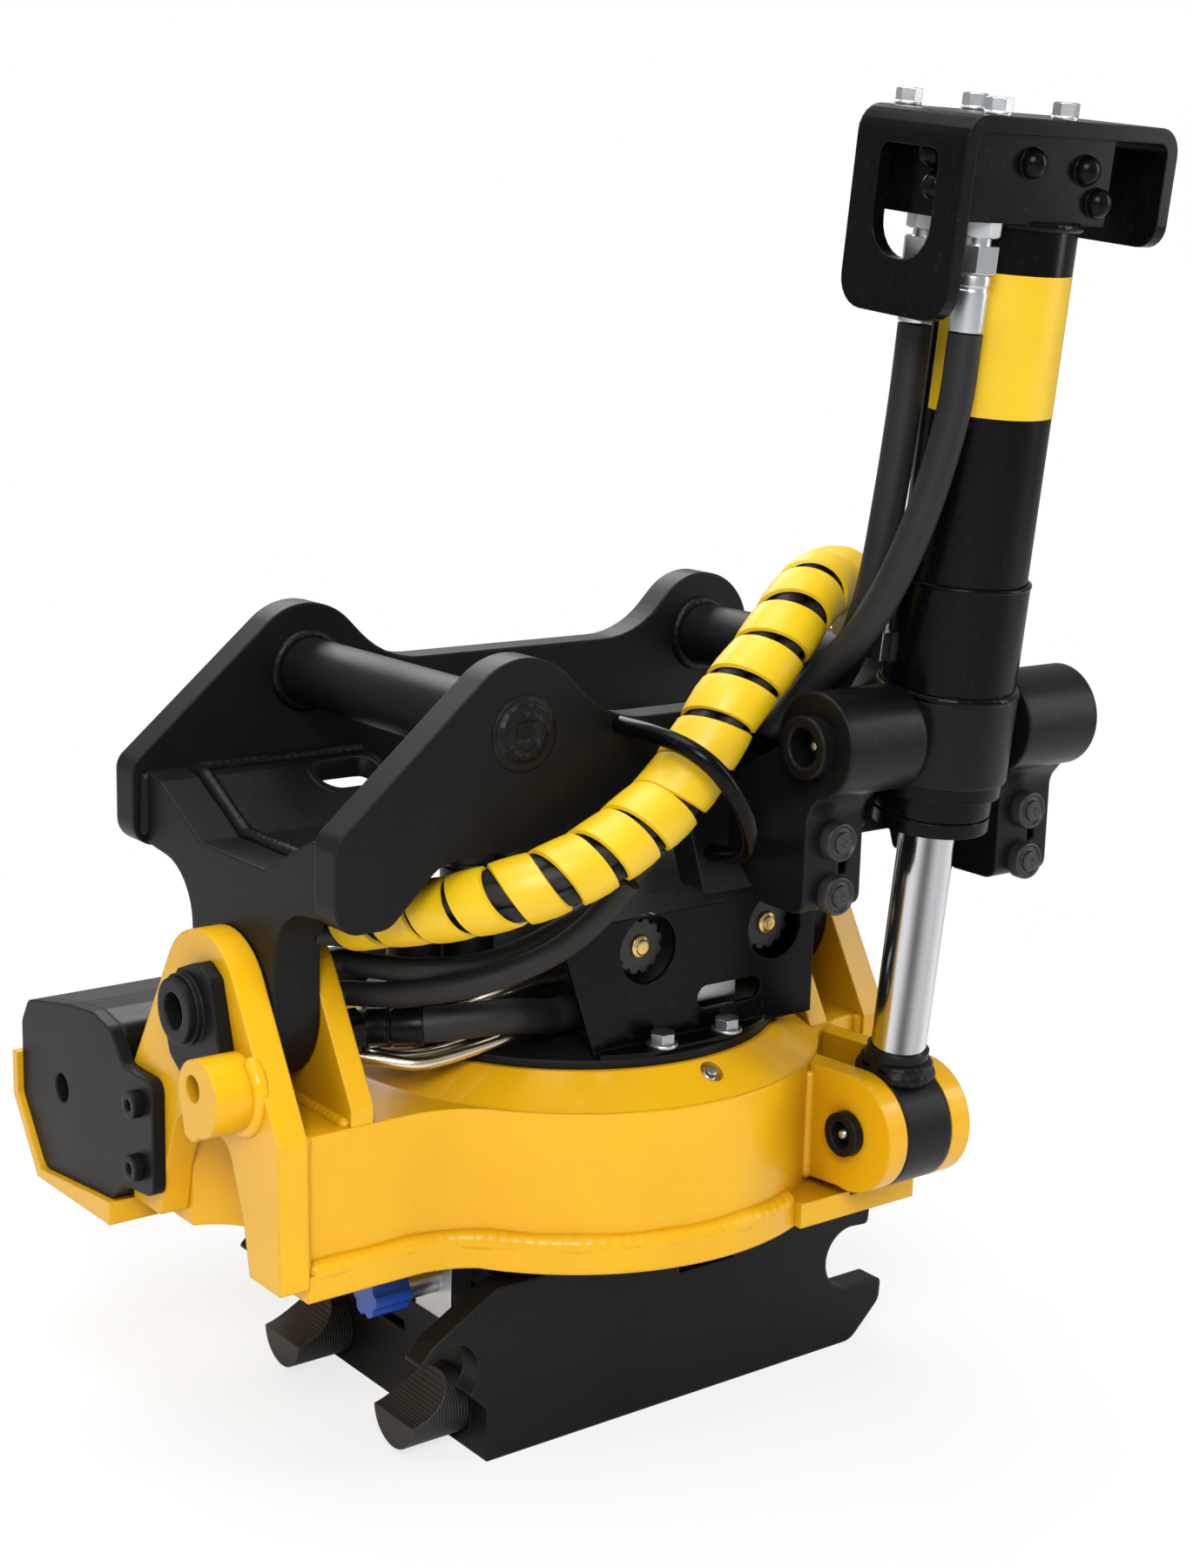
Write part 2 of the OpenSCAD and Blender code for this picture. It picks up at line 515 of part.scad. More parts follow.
module saddle_plates() color("#1a1a1c") {
  difference() {
    xplate(front_lug_x + lug_t, saddle_front_end) saddle_2d();
    for (x = saddle_hole_x) for (y = saddle_hole_y) zcyl(saddle_hole_r, notch_z - 40, notch_top_z + 40, x, y);
  }
  xplate(saddle_rear_start, rear_lug_x) saddle_2d();
}
module upper_pins() color("#1a1a1c") {
  ycyl(pin_d / 2, -ear_y - ear_t, ear_y + ear_t, upper_front_x, upper_pin_z);
  ycyl(pin_d / 2, -ear_y - ear_t, ear_y + ear_t, upper_rear_x, upper_pin_z);
}
module bush_2d() difference() { translate([0, tilt_z]) circle(r = tilt_pin_d / 2 + bush_t); translate([0, tilt_z]) circle(r = tilt_pin_d / 2 + run_clear); }
module tilt_bushes() color("#a9812f") { xplate(front_lug_x, front_lug_x + lug_t) bush_2d(); xplate(rear_lug_x, rear_lug_x + lug_t) bush_2d(); }

// Trunnion arm casting: boss round the trunnion and a web bolted to the near ear
module arm_web_2d() polygon(rounded([[arm_face_y, arm_low_z, 8], [arm_relief_y, arm_low_z, 6], [-ear_y - ear_t, arm_relief_z, 0], [-ear_y - ear_t, 384, 0],
  [trunnion_y + 26, trunnion_z - 4, 0], [trunnion_y, trunnion_z, 0], [trunnion_y - boss_r, trunnion_z, 0], [arm_face_y, trunnion_z - 38, 14]], 6));
module arm_at(x0, x1, web0, web1) difference() {
  union() {
    xcyl(boss_r, x0, x1, trunnion_y, trunnion_z);
    xplate(web0, web1) arm_web_2d();
  }
  xcyl(trunnion_d / 2 + run_clear, x0 - eps_cut, x1 + eps_cut, trunnion_y, trunnion_z);
  box((web0 + web1) / 2 + 4, (web0 + web1) / 2 + 10, arm_face_y - eps_cut, arm_face_y + 12, cap_z[1] + 10, cap_z[0] - 10);
}
module trunnion_arms() color("#1a1a1c") {
  arm_at(cyl_x - boss_half, cyl_x - boss_half + boss_l, cyl_x - boss_half, cyl_x - boss_half + arm_x_in);
  arm_at(cyl_x + boss_half - boss_l, cyl_x + boss_half, cyl_x + boss_half - arm_x_in, cyl_x + boss_half);
}
module arm_caps() color("#141416") for (x = [cap_x, 2 * cyl_x - cap_x]) for (z = cap_z) {
  ycyl(cap_r, arm_face_y - cap_h, arm_face_y, x, z);
}
loop_pts = [[-60, -118, 419], [-60, -150, 419], [-56, -174, 415], [-46, -186, 404], [-30, -187, 384], [-14, -177, 363], [0, -154, 347], [8, -118, 339]];
module hose_loop() color("#1a1a1c") difference() { tube(smooth(loop_pts, 3), 5, 12); box(-90, 40, -ear_y - ear_t, -ear_y, 300, 460); }

// Tilt cylinder, drawn upright about its trunnion and leaned into place
lower_tube_l = 86;
lower_tube_r = collar_d / 2 - collar_wall;
skirt_l = 9;
gland_l = 54;
groove_z = 8;
groove_h = 1.5;
piston_at = 112;
piston_h = 24;
module barrel() color("#1a1a1c") in_cylinder() difference() {
  union() {
    zcyl(barrel_d / 2, lower_tube_l, barrel_l, 0, 0);
    zcyl(lower_tube_r, -collar_half - skirt_l, lower_tube_l, 0, 0);
  }
  zcyl(bore_d / 2, -collar_half - skirt_l - eps_cut, barrel_l + eps_cut, 0, 0);
}
module trunnion_collar() color("#1a1a1c") in_cylinder() difference() {
  union() {
    zcyl(collar_d / 2, -collar_half, collar_half, 0, 0);
    xcyl(trunnion_d / 2, -boss_half - 9, boss_half + 9, 0, 0);
  }
  zcyl(lower_tube_r, -collar_half - eps_cut, collar_half + eps_cut, 0, 0);
  xcyl(11, -boss_half - 9 - eps_cut, -boss_half + 8, 0, 0);
}
module gland() color("#1a1a1c") in_cylinder() difference() {
  union() {
    zcyl(barrel_d / 2 - 2, -gland_l, -gland_l + groove_z, 0, 0);
    zcyl(barrel_d / 2 - 4, -gland_l + groove_z, -gland_l + groove_z + groove_h, 0, 0);
    zcyl(barrel_d / 2 - 2, -gland_l + groove_z + groove_h, -collar_half - skirt_l, 0, 0);
    zcyl(bore_d / 2, -collar_half - skirt_l, 6, 0, 0);
  }
  zcyl(rod_d / 2 + run_clear, -gland_l - eps_cut, 6 + eps_cut, 0, 0);
}
block_x0 = -66;
block_x1 = 36;
block_half = 31;
plug_r = 8;
front_plugs = [[-24, 30], [16, 28], [28, 12]];
side_plugs = [[-4, 31], [-8, 15]];
module head_block() color("#1a1a1c") in_cylinder() {
  box(block_x0, block_x1, -block_half, block_half, barrel_l, barrel_l + block_h);
  for (p = front_plugs) translate([p[0], -block_half, barrel_l + p[1]]) intersection() { sphere(r = plug_r, $fn = 32); translate([-9, -9, -9]) cube([18, 9, 18]); }
  for (p = side_plugs) translate([block_x0, p[0], barrel_l + p[1]]) intersection() { sphere(r = plug_r, $fn = 32); translate([-9, -9, -9]) cube([9, 18, 18]); }
  xcyl(plug_r, block_x1, block_x1 + 14, -10, barrel_l + 24);
}
guard_x0 = -80;
guard_x1 = 76;
guard_half = 39;
guard_left_l = 94;
guard_right_l = 54;
guard_z0 = barrel_l + block_h;
module guard_profile() difference() {
  polygon(rounded([[guard_x0, guard_z0 + guard_t, 14], [guard_x0, guard_z0 - guard_left_l, 0], [guard_x0 + guard_t, guard_z0 - guard_left_l, 0], [guard_x0 + guard_t, guard_z0, 6],
    [guard_x1 - guard_t, guard_z0, 6], [guard_x1 - guard_t, guard_z0 - guard_right_l, 0], [guard_x1, guard_z0 - guard_right_l, 0], [guard_x1, guard_z0 + guard_t, 14]], 6));
}
module guard_left_2d() difference() {
  polygon(rounded([[-guard_half, guard_z0 - guard_left_l, 16], [guard_half, guard_z0 - guard_left_l, 16], [guard_half, guard_z0 + 20, 0], [-guard_half, guard_z0 + 20, 0]], 6));
  polygon(rounded([[-21, guard_z0 - 66, 19], [21, guard_z0 - 66, 19], [21, guard_z0 - 10, 6], [-21, guard_z0 - 10, 6]], 6));
}
module guard_right_2d() polygon(rounded([[-guard_half, guard_z0 - guard_right_l, 12], [guard_half, guard_z0 - guard_right_l, 12], [guard_half, guard_z0 + 20, 0], [-guard_half, guard_z0 + 20, 0]], 6));
module hose_guard() color("#1a1a1c") in_cylinder() difference() {
  yplate(-guard_half, guard_half) guard_profile();
  difference() { box(guard_x0 - 1, guard_x0 + guard_t + 8, -60, 60, guard_z0 - 120, guard_z0 - 5); xplate(guard_x0 - 2, guard_x0 + guard_t + 9) guard_left_2d(); }
  difference() { box(guard_x1 - guard_t - 8, guard_x1 + 1, -60, 60, guard_z0 - 120, guard_z0 - 5); xplate(guard_x1 - guard_t - 9, guard_x1 + 2) guard_right_2d(); }
}
guard_bolt_x = [-54, -6];
guard_bolt_y = [-32, 32];
module guard_bolts() color("#c3c7ca") in_cylinder() for (x = guard_bolt_x) for (y = guard_bolt_y) {
  zcyl(7.5, guard_z0 + guard_t, guard_z0 + guard_t + 2, x, y);
  translate([x, y, guard_z0 + guard_t + 2]) cylinder(r = 7, h = 7, $fn = 6);
}
fit_spots = [[-44, -20], [-47, 14]];
module hose_fittings() color("#c3c7ca") in_cylinder() for (p = fit_spots) {
  translate([p[0], p[1], barrel_l - 8]) cylinder(r = 10, h = 8, $fn = 6);
  zcyl(7, barrel_l - 12, barrel_l - 8, p[0], p[1]);
  translate([p[0], p[1], barrel_l - 26]) cylinder(r = 11, h = 14, $fn = 6);
  zcyl(8.5, barrel_l - 56, barrel_l - 26, p[0], p[1]);
}
pipe_side = 2;
pipe_back = 8;
pipe_x = pipe_side - barrel_d / 2;
pipe_y = barrel_d / 2 - pipe_back;
pipe_r = 4.5;
pipe_foot_z = 46;
module transfer_pipe() color("#9b9ea2") in_cylinder() difference() {
  union() {
    zcyl(pipe_r, pipe_foot_z, barrel_l, pipe_x, pipe_y);
    box(pipe_x - 7, pipe_x + 12, pipe_y - 12, pipe_y + 7, pipe_foot_z - 8, pipe_foot_z + 8);
  }
  zcyl(lower_tube_r, 0, lower_tube_l + 1, 0, 0);
}

// Rod side, same leaned frame
module rod() color("#d9dbdd") in_cylinder() zcyl(rod_d / 2, -cyl_len + eye_r - 3, piston_at, 0, 0);
module rod_eye() color("#1a1a1c") in_cylinder() difference() {
  union() {
    xcyl(eye_r, -eye_w / 2, eye_w / 2, 0, -cyl_len);
    zcyl(rod_d / 2 + 2, -cyl_len + eye_r - 8, -cyl_len + eye_r + 14, 0, 0);
  }
  xcyl(rod_pin_neck_d / 2 + eye_room, -eye_w / 2 - eps_cut, eye_w / 2 + eps_cut, 0, -cyl_len);
  zcyl(rod_d / 2, -cyl_len + eye_r - 3, -cyl_len + eye_r + 30, 0, 0);
}
module piston() color("#8d9094") in_cylinder() zcyl(bore_d / 2 - run_clear, piston_at, piston_at + piston_h, 0, 0);

// Rotor side
crown_r = 70;
module worm_wheel() color("#a9812f") difference() {
  union() { zcyl(wheel_r, wheel_z0, wheel_z0 + wheel_h, 0, 0); zcyl(crown_r - side_gap, wheel_z0 + wheel_h, cone_top_z - 4, 0, 0); }
  rotate_extrude($fn = 128) translate([worm_y, worm_z]) circle(r = worm_r + side_gap, $fn = 48);
}
module rotor_neck() color("#1a1a1c") zcyl(neck_r, lower_top_z, wheel_z0, 0, 0);

lip_z = 99;
low_front_x = -124;
low_rear_x = 112;
cross_t = 14;
top_t = 12;
belly_t = 3;
front_plate_top = 68;
module lower_side_2d() difference() {
  polygon(rounded([[low_front_x, 0, 0], [154, 0, 14], [177, 22, 10], [178, lower_pin_z - 20, 4], [half_spread, lower_pin_z - 20, 0], [half_spread, lower_pin_z + pin_d / 2, 0],
    [half_spread + 14, lower_pin_z + 19, 3], [half_spread + 16, lip_z, 8], [130, lower_top_z, 0], [-118, lower_top_z, 12], [-half_spread - 10, lower_pin_z + 22, 6], [-half_spread - 20, lower_pin_z + 12, 2],
    [-half_spread, lower_pin_z, 0], [low_front_x, 32, 0]], 5));
  translate([half_spread, lower_pin_z]) circle(r = pin_d / 2);
  translate([-half_spread, lower_pin_z]) circle(r = pin_d / 2);
  translate([12, 80]) square([42, 14]);
}
module lower_side_plates() color("#1a1a1c") for (s = [0, 1]) mirror([0, s, 0]) yplate(-hitch_w / 2, -side_in) lower_side_2d();
module lower_cross_plates() color("#1a1a1c") {
  difference() {
    box(low_front_x, low_front_x + cross_t, -side_in, side_in, 0, front_plate_top);
    for (y = [-horn_y, horn_y]) xcyl(horn_r + side_gap / 2, low_front_x - eps_cut, low_front_x + cross_t + eps_cut, y, horn_z);
    box(low_front_x - eps_cut, low_front_x + cross_t + eps_cut, -14, 14, 46, 52);
  }
  box(low_rear_x, low_rear_x + cross_t, -side_in, side_in, 0, lower_top_z - top_t);
}
module lower_top_plate() color("#1a1a1c") box(low_front_x + cross_t, low_rear_x + cross_t, -side_in, side_in, lower_top_z - top_t, lower_top_z);
module belly_plate() color("#1a1a1c") box(low_front_x + cross_t, low_rear_x, -side_in, side_in, 0, belly_t);
guide_l = 70;
module lock_guides() color("#1a1a1c") for (s = [0, 1]) mirror([0, s, 0]) difference() {
  box(low_front_x + cross_t, low_front_x + cross_t + guide_l, horn_y - horn_r - 4, side_in, belly_t, horn_z + horn_r + 4);
  xcyl(horn_r + run_clear, low_front_x, low_front_x + cross_t + guide_l + eps_cut, horn_y, horn_z);
}
horn_reach = 12;
scoop_r = 44;
scoop_back = 20;
scoop_rise = 9;
yoke_x0 = -22;
yoke_x1 = -8;
module lock_horns() color("#222225") for (y = [-horn_y, horn_y]) difference() {
  xcyl(horn_r, -half_spread - horn_reach, yoke_x0, y, horn_z);
  ycyl(scoop_r, y - horn_r - eps_cut, y + horn_r + eps_cut, -half_spread - scoop_back, lower_pin_z + scoop_rise);
}
module lock_yoke() color("#2b2b2e") { box(yoke_x0, yoke_x1, -horn_y - 18, horn_y + 18, horn_z - 14, horn_z + 14); xcyl(lock_rod_r, yoke_x1, yoke_x1 + 72, 0, horn_z); }
lock_rod_r = 8;
module lock_cylinder() color("#1a1a1c") difference() {
  xcyl(19, yoke_x1 + lock_travel + 4, low_rear_x, 0, horn_z);
  xcyl(lock_rod_r + run_clear, yoke_x1, low_rear_x - 2, 0, horn_z);
}
cap_base_z = 90;
cap_front_x = -170;
cap_side_y = 40 - side_in;
module coupler_cap() color("#1247b0") translate([cap_front_x, cap_side_y, cap_base_z]) rotate([0, 90, 0]) difference() {
  cylinder(r = 12, h = 24);
  for (a = [0 : 60 : 300]) rotate(a) translate([14, 0, -1]) cylinder(r = 4, h = 30);
}
module coupler_stub() color("#9b9ea2") {
  xcyl(8, cap_front_x + 24, low_front_x, cap_side_y, cap_base_z);
  box(low_front_x, low_front_x + cross_t, cap_side_y - 18, cap_side_y + 18, front_plate_top, lower_top_z);
}

// Hoses: route points by hand, the same in the scene in metres
bundle_route = [[-182, -45, 310], [-180, -60, 315], [-173, -74, 319], [-159, -102, 327], [-145, -130, 338], [-124, -146, 347], [-95, -152, 358.5],
  [-61, -152, 376], [-43, -152, 390], [-26, -152, 411], [-9, -152, 433], [9, -151, 448], [28, -148, 465], [52, -139, 481], [80, -123, 486], [112, -103, 483], [138, -87, 472], [150, -76, 460]];
bundle_r = 20.5;
bundle_end_r = 16.5;
module hose_bundle() color("#f2c40a") tube(smooth(bundle_route, 2), bundle_r, 12, bundle_end_r);
valve_route = [[-184.5, -38, 246], [-176, -38, 246], [-167, -38, 246], [-142, -60, 249], [-106, -76, 251.5], [-84, -73, 247.5], [-64, -66, 242],
  [-52, -66, 242], [-40.4, -66, 242]];
valve_hose_r = 10;
return_route = [[-184.5, -26, 282], [-179, -26, 282], [-173, -27, 282], [-162, -44, 281.5], [-146, -62, 281.5], [-119, -78, 284], [-101.5, -94, 293.5], [-82.5, -108, 307.5],
  [-65, -117, 321], [-55, -126, 336], [-46, -137, 356]];
drain_route = [[-184.5, -29, 265], [-179, -29, 265], [-173, -31, 265], [-164, -46, 266.5], [-153, -61, 269], [-135, -83, 275.5], [-115, -100, 284.5], [-96, -115, 297],
  [-84, -127, 311], [-76, -137, 326], [-70, -145, 340]];
return_r = 7;
module valve_hoses() color("#1a1a1c") {
  tube(smooth(valve_route, 2), valve_hose_r, 10);
  tube(smooth(return_route, 2), return_r, 8);
  tube(smooth(drain_route, 2), return_r, 8);
}
near_hose_route = [[71, -230.9, 629], [70, -226.7, 590], [65, -217, 545], [58, -205, 506], [52, -189, 474], [46.5, -170, 450.5], [41, -154, 431.5],
  [34, -143, 415], [34, -132, 415], [34, -120.6, 415]];
far_hose_route = [[68, -197.1, 632.6], [68, -192.5, 590], [67, -186, 540], [66.5, -177, 492], [65, -164, 455], [61.5, -152, 432], [56, -143, 415],
  [56, -132, 415], [56, -120.6, 415]];
hose_r = 9;
module cylinder_hoses() color("#1a1a1c") { tube(smooth(near_hose_route, 2), hose_r, 10); tube(smooth(far_hose_route, 2), hose_r, 10); }

housing_shell();
front_clevis_outer();
front_clevis_inner();
rear_clevis_inner();
rear_clevis_outer();
lifting_lug();
cylinder_lugs();
tilt_pins();
pin_retainers();
rod_eye_pin();
top_disc();
valve_block();
valve_cover();
cover_bolts();
coil_nuts();
coil_screws();
valve_connector();
gearbox_body();
gearbox_end_plate();
gearbox_bolts();
skid_guard();
slew_bush();
worm();
ear_near();
ear_far();
front_lug_plate();
rear_lug_plate();
saddle_plates();
upper_pins();
tilt_bushes();
trunnion_arms();
arm_caps();
hose_loop();
barrel();
trunnion_collar();
gland();
head_block();
hose_guard();
guard_bolts();
hose_fittings();
transfer_pipe();
rod();
rod_eye();
piston();
worm_wheel();
rotor_neck();
lower_side_plates();
lower_cross_plates();
lower_top_plate();
belly_plate();
lock_guides();
lock_cylinder();
coupler_cap();
coupler_stub();
lock_horns();
lock_yoke();
hose_bundle();
valve_hoses();
cylinder_hoses();
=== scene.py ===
# Looks of an excavator tilt rotator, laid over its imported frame. Metres, Z up, rotor axis on Z.
import json
import math

import bmesh
import bpy
from mathutils import Matrix, Vector


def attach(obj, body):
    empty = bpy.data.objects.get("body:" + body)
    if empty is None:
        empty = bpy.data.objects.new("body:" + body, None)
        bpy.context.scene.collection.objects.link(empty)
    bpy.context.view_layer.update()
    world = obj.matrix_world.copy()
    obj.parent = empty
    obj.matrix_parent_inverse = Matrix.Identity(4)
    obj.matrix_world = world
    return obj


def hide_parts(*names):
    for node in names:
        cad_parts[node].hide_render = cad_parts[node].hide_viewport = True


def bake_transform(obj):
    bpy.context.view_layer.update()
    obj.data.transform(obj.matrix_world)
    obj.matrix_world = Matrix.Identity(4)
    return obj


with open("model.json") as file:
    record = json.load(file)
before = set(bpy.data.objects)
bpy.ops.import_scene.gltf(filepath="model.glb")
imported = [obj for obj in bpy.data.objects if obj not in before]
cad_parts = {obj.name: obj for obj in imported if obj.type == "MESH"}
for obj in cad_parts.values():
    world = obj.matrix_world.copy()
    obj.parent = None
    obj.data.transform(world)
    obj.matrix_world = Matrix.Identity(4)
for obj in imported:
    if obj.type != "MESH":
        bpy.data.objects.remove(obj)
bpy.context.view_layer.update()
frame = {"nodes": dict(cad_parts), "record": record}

MM = 0.001

# Sizes shared with the solids, in millimetres
WALL_R = 152
TONGUE_HALF = 76
TONGUE_FILLET = 60
FLANGE_TOP = 130
WALL_TOP = 206
EAR_Y = 100
EAR_T = 20
UPPER_PIN_X = (-122, 178)
UPPER_PIN_Z = 420
PIN_R = 20
FRONT_PLATE_X = (-247, -229)
FRONT_INNER_X = (-199, -185)
REAR_OUTER_X = (169, 187)
FRONT_LUG_X = (-228, -200)
REAR_LUG_X = (140, 168)
SADDLE_PROFILE = ((-100, 368), (-82, 368), (-35, 343), (35, 343), (82, 368), (100, 368))
CYL_X = 115
TRUNNION = (-187.5, 411)
ROD_PIN = (-162, 172)
BARREL_R = 35
BARREL_L = 278
BLOCK_H = 44
GUARD_TOP = BARREL_L + BLOCK_H + 8
DISC_TOP = 227
COVER_Y = -104
ARM_FACE_Y = -184
FITTING_SPOTS = ((-44, -20), (-47, 14))
GUARD_BOLTS = ((-54, -32), (-6, -32), (-54, 32), (-6, 32))
COVER_BOLTS = ((-18, -114), (30, -113))
COIL_X = (-22, 72)
COIL_Z = 284
ARM_CAP_X = (40.5, 189.5)
ARM_CAP_Z = (356, 326)

LEAN = math.atan2(ROD_PIN[0] - TRUNNION[0], TRUNNION[1] - ROD_PIN[1])
CYL_LEN = math.hypot(ROD_PIN[0] - TRUNNION[0], TRUNNION[1] - ROD_PIN[1])
CYLINDER = Matrix.Translation(Vector((CYL_X, *TRUNNION)) * MM) @ Matrix.Rotation(LEAN, 4, "X")

# Hose routes, the same points as in the solids
BUNDLE_ROUTE = ((-182, -45, 310), (-180, -60, 315), (-173, -74, 319), (-159, -102, 327), (-145, -130, 338),
                (-124, -146, 347), (-95, -152, 358.5), (-61, -152, 376), (-43, -152, 390), (-26, -152, 411),
                (-9, -152, 433), (9, -151, 448), (28, -148, 465), (52, -139, 481), (80, -123, 486),
                (112, -103, 483), (138, -87, 472), (150, -76, 460))
CORE_START = ((-199.6, -37, 311), (-191, -40, 310.5))
BUNDLE_R = 20.5
BUNDLE_END_R = 16.5
FEED_ROUTE = ((-184.5, -38, 246), (-176, -38, 246), (-167, -38, 246), (-142, -60, 249), (-106, -76, 251.5),
              (-84, -73, 247.5), (-64, -66, 242), (-52, -66, 242), (-40.4, -66, 242))
FEED_R = 10
RETURN_ROUTE = ((-184.5, -26, 282), (-179, -26, 282), (-173, -27, 282), (-162, -44, 281.5),
                (-146, -62, 281.5), (-119, -78, 284), (-101.5, -94, 293.5), (-82.5, -108, 307.5),
                (-65, -117, 321), (-55, -126, 336), (-46, -137, 356))
DRAIN_ROUTE = ((-184.5, -29, 265), (-179, -29, 265), (-173, -31, 265), (-164, -46, 266.5), (-153, -61, 269),
               (-135, -83, 275.5), (-115, -100, 284.5), (-96, -115, 297), (-84, -127, 311), (-76, -137, 326),
               (-70, -145, 340))
RETURN_R = 7
NEAR_HOSE_ROUTE = ((71, -230.9, 629), (70, -226.7, 590), (65, -217, 545), (58, -205, 506), (52, -189, 474),
                   (46.5, -170, 450.5), (41, -154, 431.5), (34, -143, 415), (34, -132, 415),
                   (34, -120.6, 415))
FAR_HOSE_ROUTE = ((68, -197.1, 632.6), (68, -192.5, 590), (67, -186, 540), (66.5, -177, 492), (65, -164, 455),
                  (61.5, -152, 432), (56, -143, 415), (56, -132, 415), (56, -120.6, 415))
CYLINDER_HOSE_R = 9
LOOP_ROUTE = ((-60, -118, 419), (-60, -150, 419), (-56, -174, 415), (-46, -186, 404), (-30, -187, 384),
              (-14, -177, 363), (0, -154, 347), (8, -118, 339))
LOOP_R = 5

# Sizes of the pieces that only the looks have, in millimetres
PIPE_ROUTES = (((-40, -44, 254), (-64, -46, 255), (-92, -50, 253), (-122, -44, 247), (-150, -34, 242),
                (-166, -36, 236), (-161, -46, 231), (-136, -50, 228.5), (-113, -53, 231), (-86, -44, 232),
                (-66, -34, 231), (-40, -30, 231)),
               ((-40, -50, 233), (-54, -50, 233), (-72, -56, 234), (-91, -67, 235), (-110, -66, 232),
                (-133, -63, 228.5), (-149, -60, 228), (-164, -49, 230), (-174, -40, 231),
                (-184.6, -36, 232)))
PIPE_R = 3.7
# Place in plan, foot, top and radius
CARTRIDGES = ((-103, 12, 227, 286, 16), (-69, 8, 227, 327, 16), (-36, 8, 290, 327, 16), (-3, 8, 290, 327, 16))
# Middle in x and y, half the distance between the round ends, and their radius
SADDLE_HOLE = (-111, 72, 9, 11.8)
# Outward step and height of the rolled rim round a saddle hole
RIM_SECTION = ((3.0, -2.0), (3.0, -11.6), (0, -11.6), (0, 0.3), (0.6, 0.8), (4.0, 0.8), (5.5, -0.5))
# Where the feed hose's ferrule starts and stops along the hose, and its grooved rings
FERRULE_SPAN = (19, 52)
FERRULE_R = 11.4
FERRULE_GROOVES = (0, 14, 15, 32)
GROOVE_DEPTH = 1.2
TRUNNION_NIPPLE_X = -87
# Middle in y and z, and the radius of the bead round the lifting lug
LIFTING_LUG_BEAD = (-43, 227, 21)
# Radius and height of the plug over a pin end
PIN_PLUG = ((0, -1), (PIN_R - 1, -1), (PIN_R + 0.6, 0.2), (PIN_R - 1.2, 0.9), (PIN_R - 3.4, 0.2),
            (PIN_R - 5, 0.5), (0, 0.7))
NIPPLE = [(0, 0), (4.2, 0), (4.2, 2.6), (3.0, 3.2), (2.4, 5.0), (2.9, 6.2), (3.1, 7.6), (2.2, 9.2),
          (0.8, 9.6), (0, 9.4)]
EYE_WELD_HALF = 17.5


class Value:
    """A socket in a node tree. Sums and products of values add Math nodes."""

    def __init__(self, tree, socket=None):
        self.tree = tree
        self.socket = socket

    def node(self, kind, settings=None, sockets=None, out=0):
        """Adds a node: its settings first, then the values or links of its sockets."""
        made = self.tree.nodes.new(kind)
        for name, setting in (settings or {}).items():
            if name == "stops":
                for stop, (place, colour) in zip(made.color_ramp.elements, setting):
                    stop.position = place
                    stop.color = colour
            else:
                setattr(made, name, setting)
        for name, given in (sockets or {}).items():
            if isinstance(given, Value):
                self.tree.links.new(given.socket, made.inputs[name])
            else:
                made.inputs[name].default_value = given
        return Value(self.tree, made.outputs[out] if len(made.outputs) else None)

    def math(self, operation, first, second=0.0):
        return self.node("ShaderNodeMath", {"operation": operation}, {0: first, 1: second})

    def __add__(self, other):
        return self.math("ADD", self, other)

    __radd__ = __add__

    def __sub__(self, other):
        return self.math("SUBTRACT", self, other)

    def __rsub__(self, other):
        return self.math("SUBTRACT", other, self)

    def __mul__(self, other):
        return self.math("MULTIPLY", self, other)

    __rmul__ = __mul__

    def dot(self, other):
        """Dot product of two vectors, as a value."""
        product = {"operation": "DOT_PRODUCT"}
        return self.node("ShaderNodeVectorMath", product, {0: self, 1: other}, out="Value")

    def band(self, low, high):
        """0 below low, 1 above high."""
        span = {"Value": self, "From Min": low, "From Max": high}
        return self.node("ShaderNodeMapRange", {"clamp": True}, span)

    def tint(self, under, over):
        """Colour under where the value is 0, colour over where it is 1."""
        mixed = {"data_type": "RGBA"}
        return self.node("ShaderNodeMix", mixed, {0: self, 6: under, 7: over}, out=2)


class Finish(Value):
    """One material: its tree, the place on the object, and the shader that ends it."""

    def __init__(self, name):
        self.material = bpy.data.materials.new(name)
        self.material.use_nodes = True
        self.material.node_tree.nodes.clear()
        super().__init__(self.material.node_tree)
        self.place = self.node("ShaderNodeTexCoord", out="Object")

    def noise(self, scale, detail=3.0, rough=0.55, stretch=None):
        place = self.place
        if stretch:
            place = self.node("ShaderNodeMapping", None, {"Vector": place, "Scale": stretch})
        sockets = {"Vector": place, "Scale": scale, "Detail": detail, "Roughness": rough}
        return self.node("ShaderNodeTexNoise", None, sockets)

    def soft_edge(self, radius):
        """Normal with the edges rounded, and how far it turns from the flat face."""
        rounded = self.node("ShaderNodeBevel", {"samples": 6}, {"Radius": radius})
        flat = self.node("ShaderNodeNewGeometry", out="Normal")
        return rounded, (1 - rounded.dot(flat)).band(0.02, 0.22)

    def bump(self, height, distance, strength, normal=None):
        sockets = {"Height": height, "Distance": distance, "Strength": strength}
        if normal:
            sockets["Normal"] = normal
        return self.node("ShaderNodeBump", None, sockets)

    def shade(self, **sockets):
        named = {name.replace("_", " "): given for name, given in sockets.items()}
        shader = self.node("ShaderNodeBsdfPrincipled", None, named)
        self.node("ShaderNodeOutputMaterial", None, {"Surface": shader})
        return self.material


def rgb(*parts):
    return (*parts, 1.0)


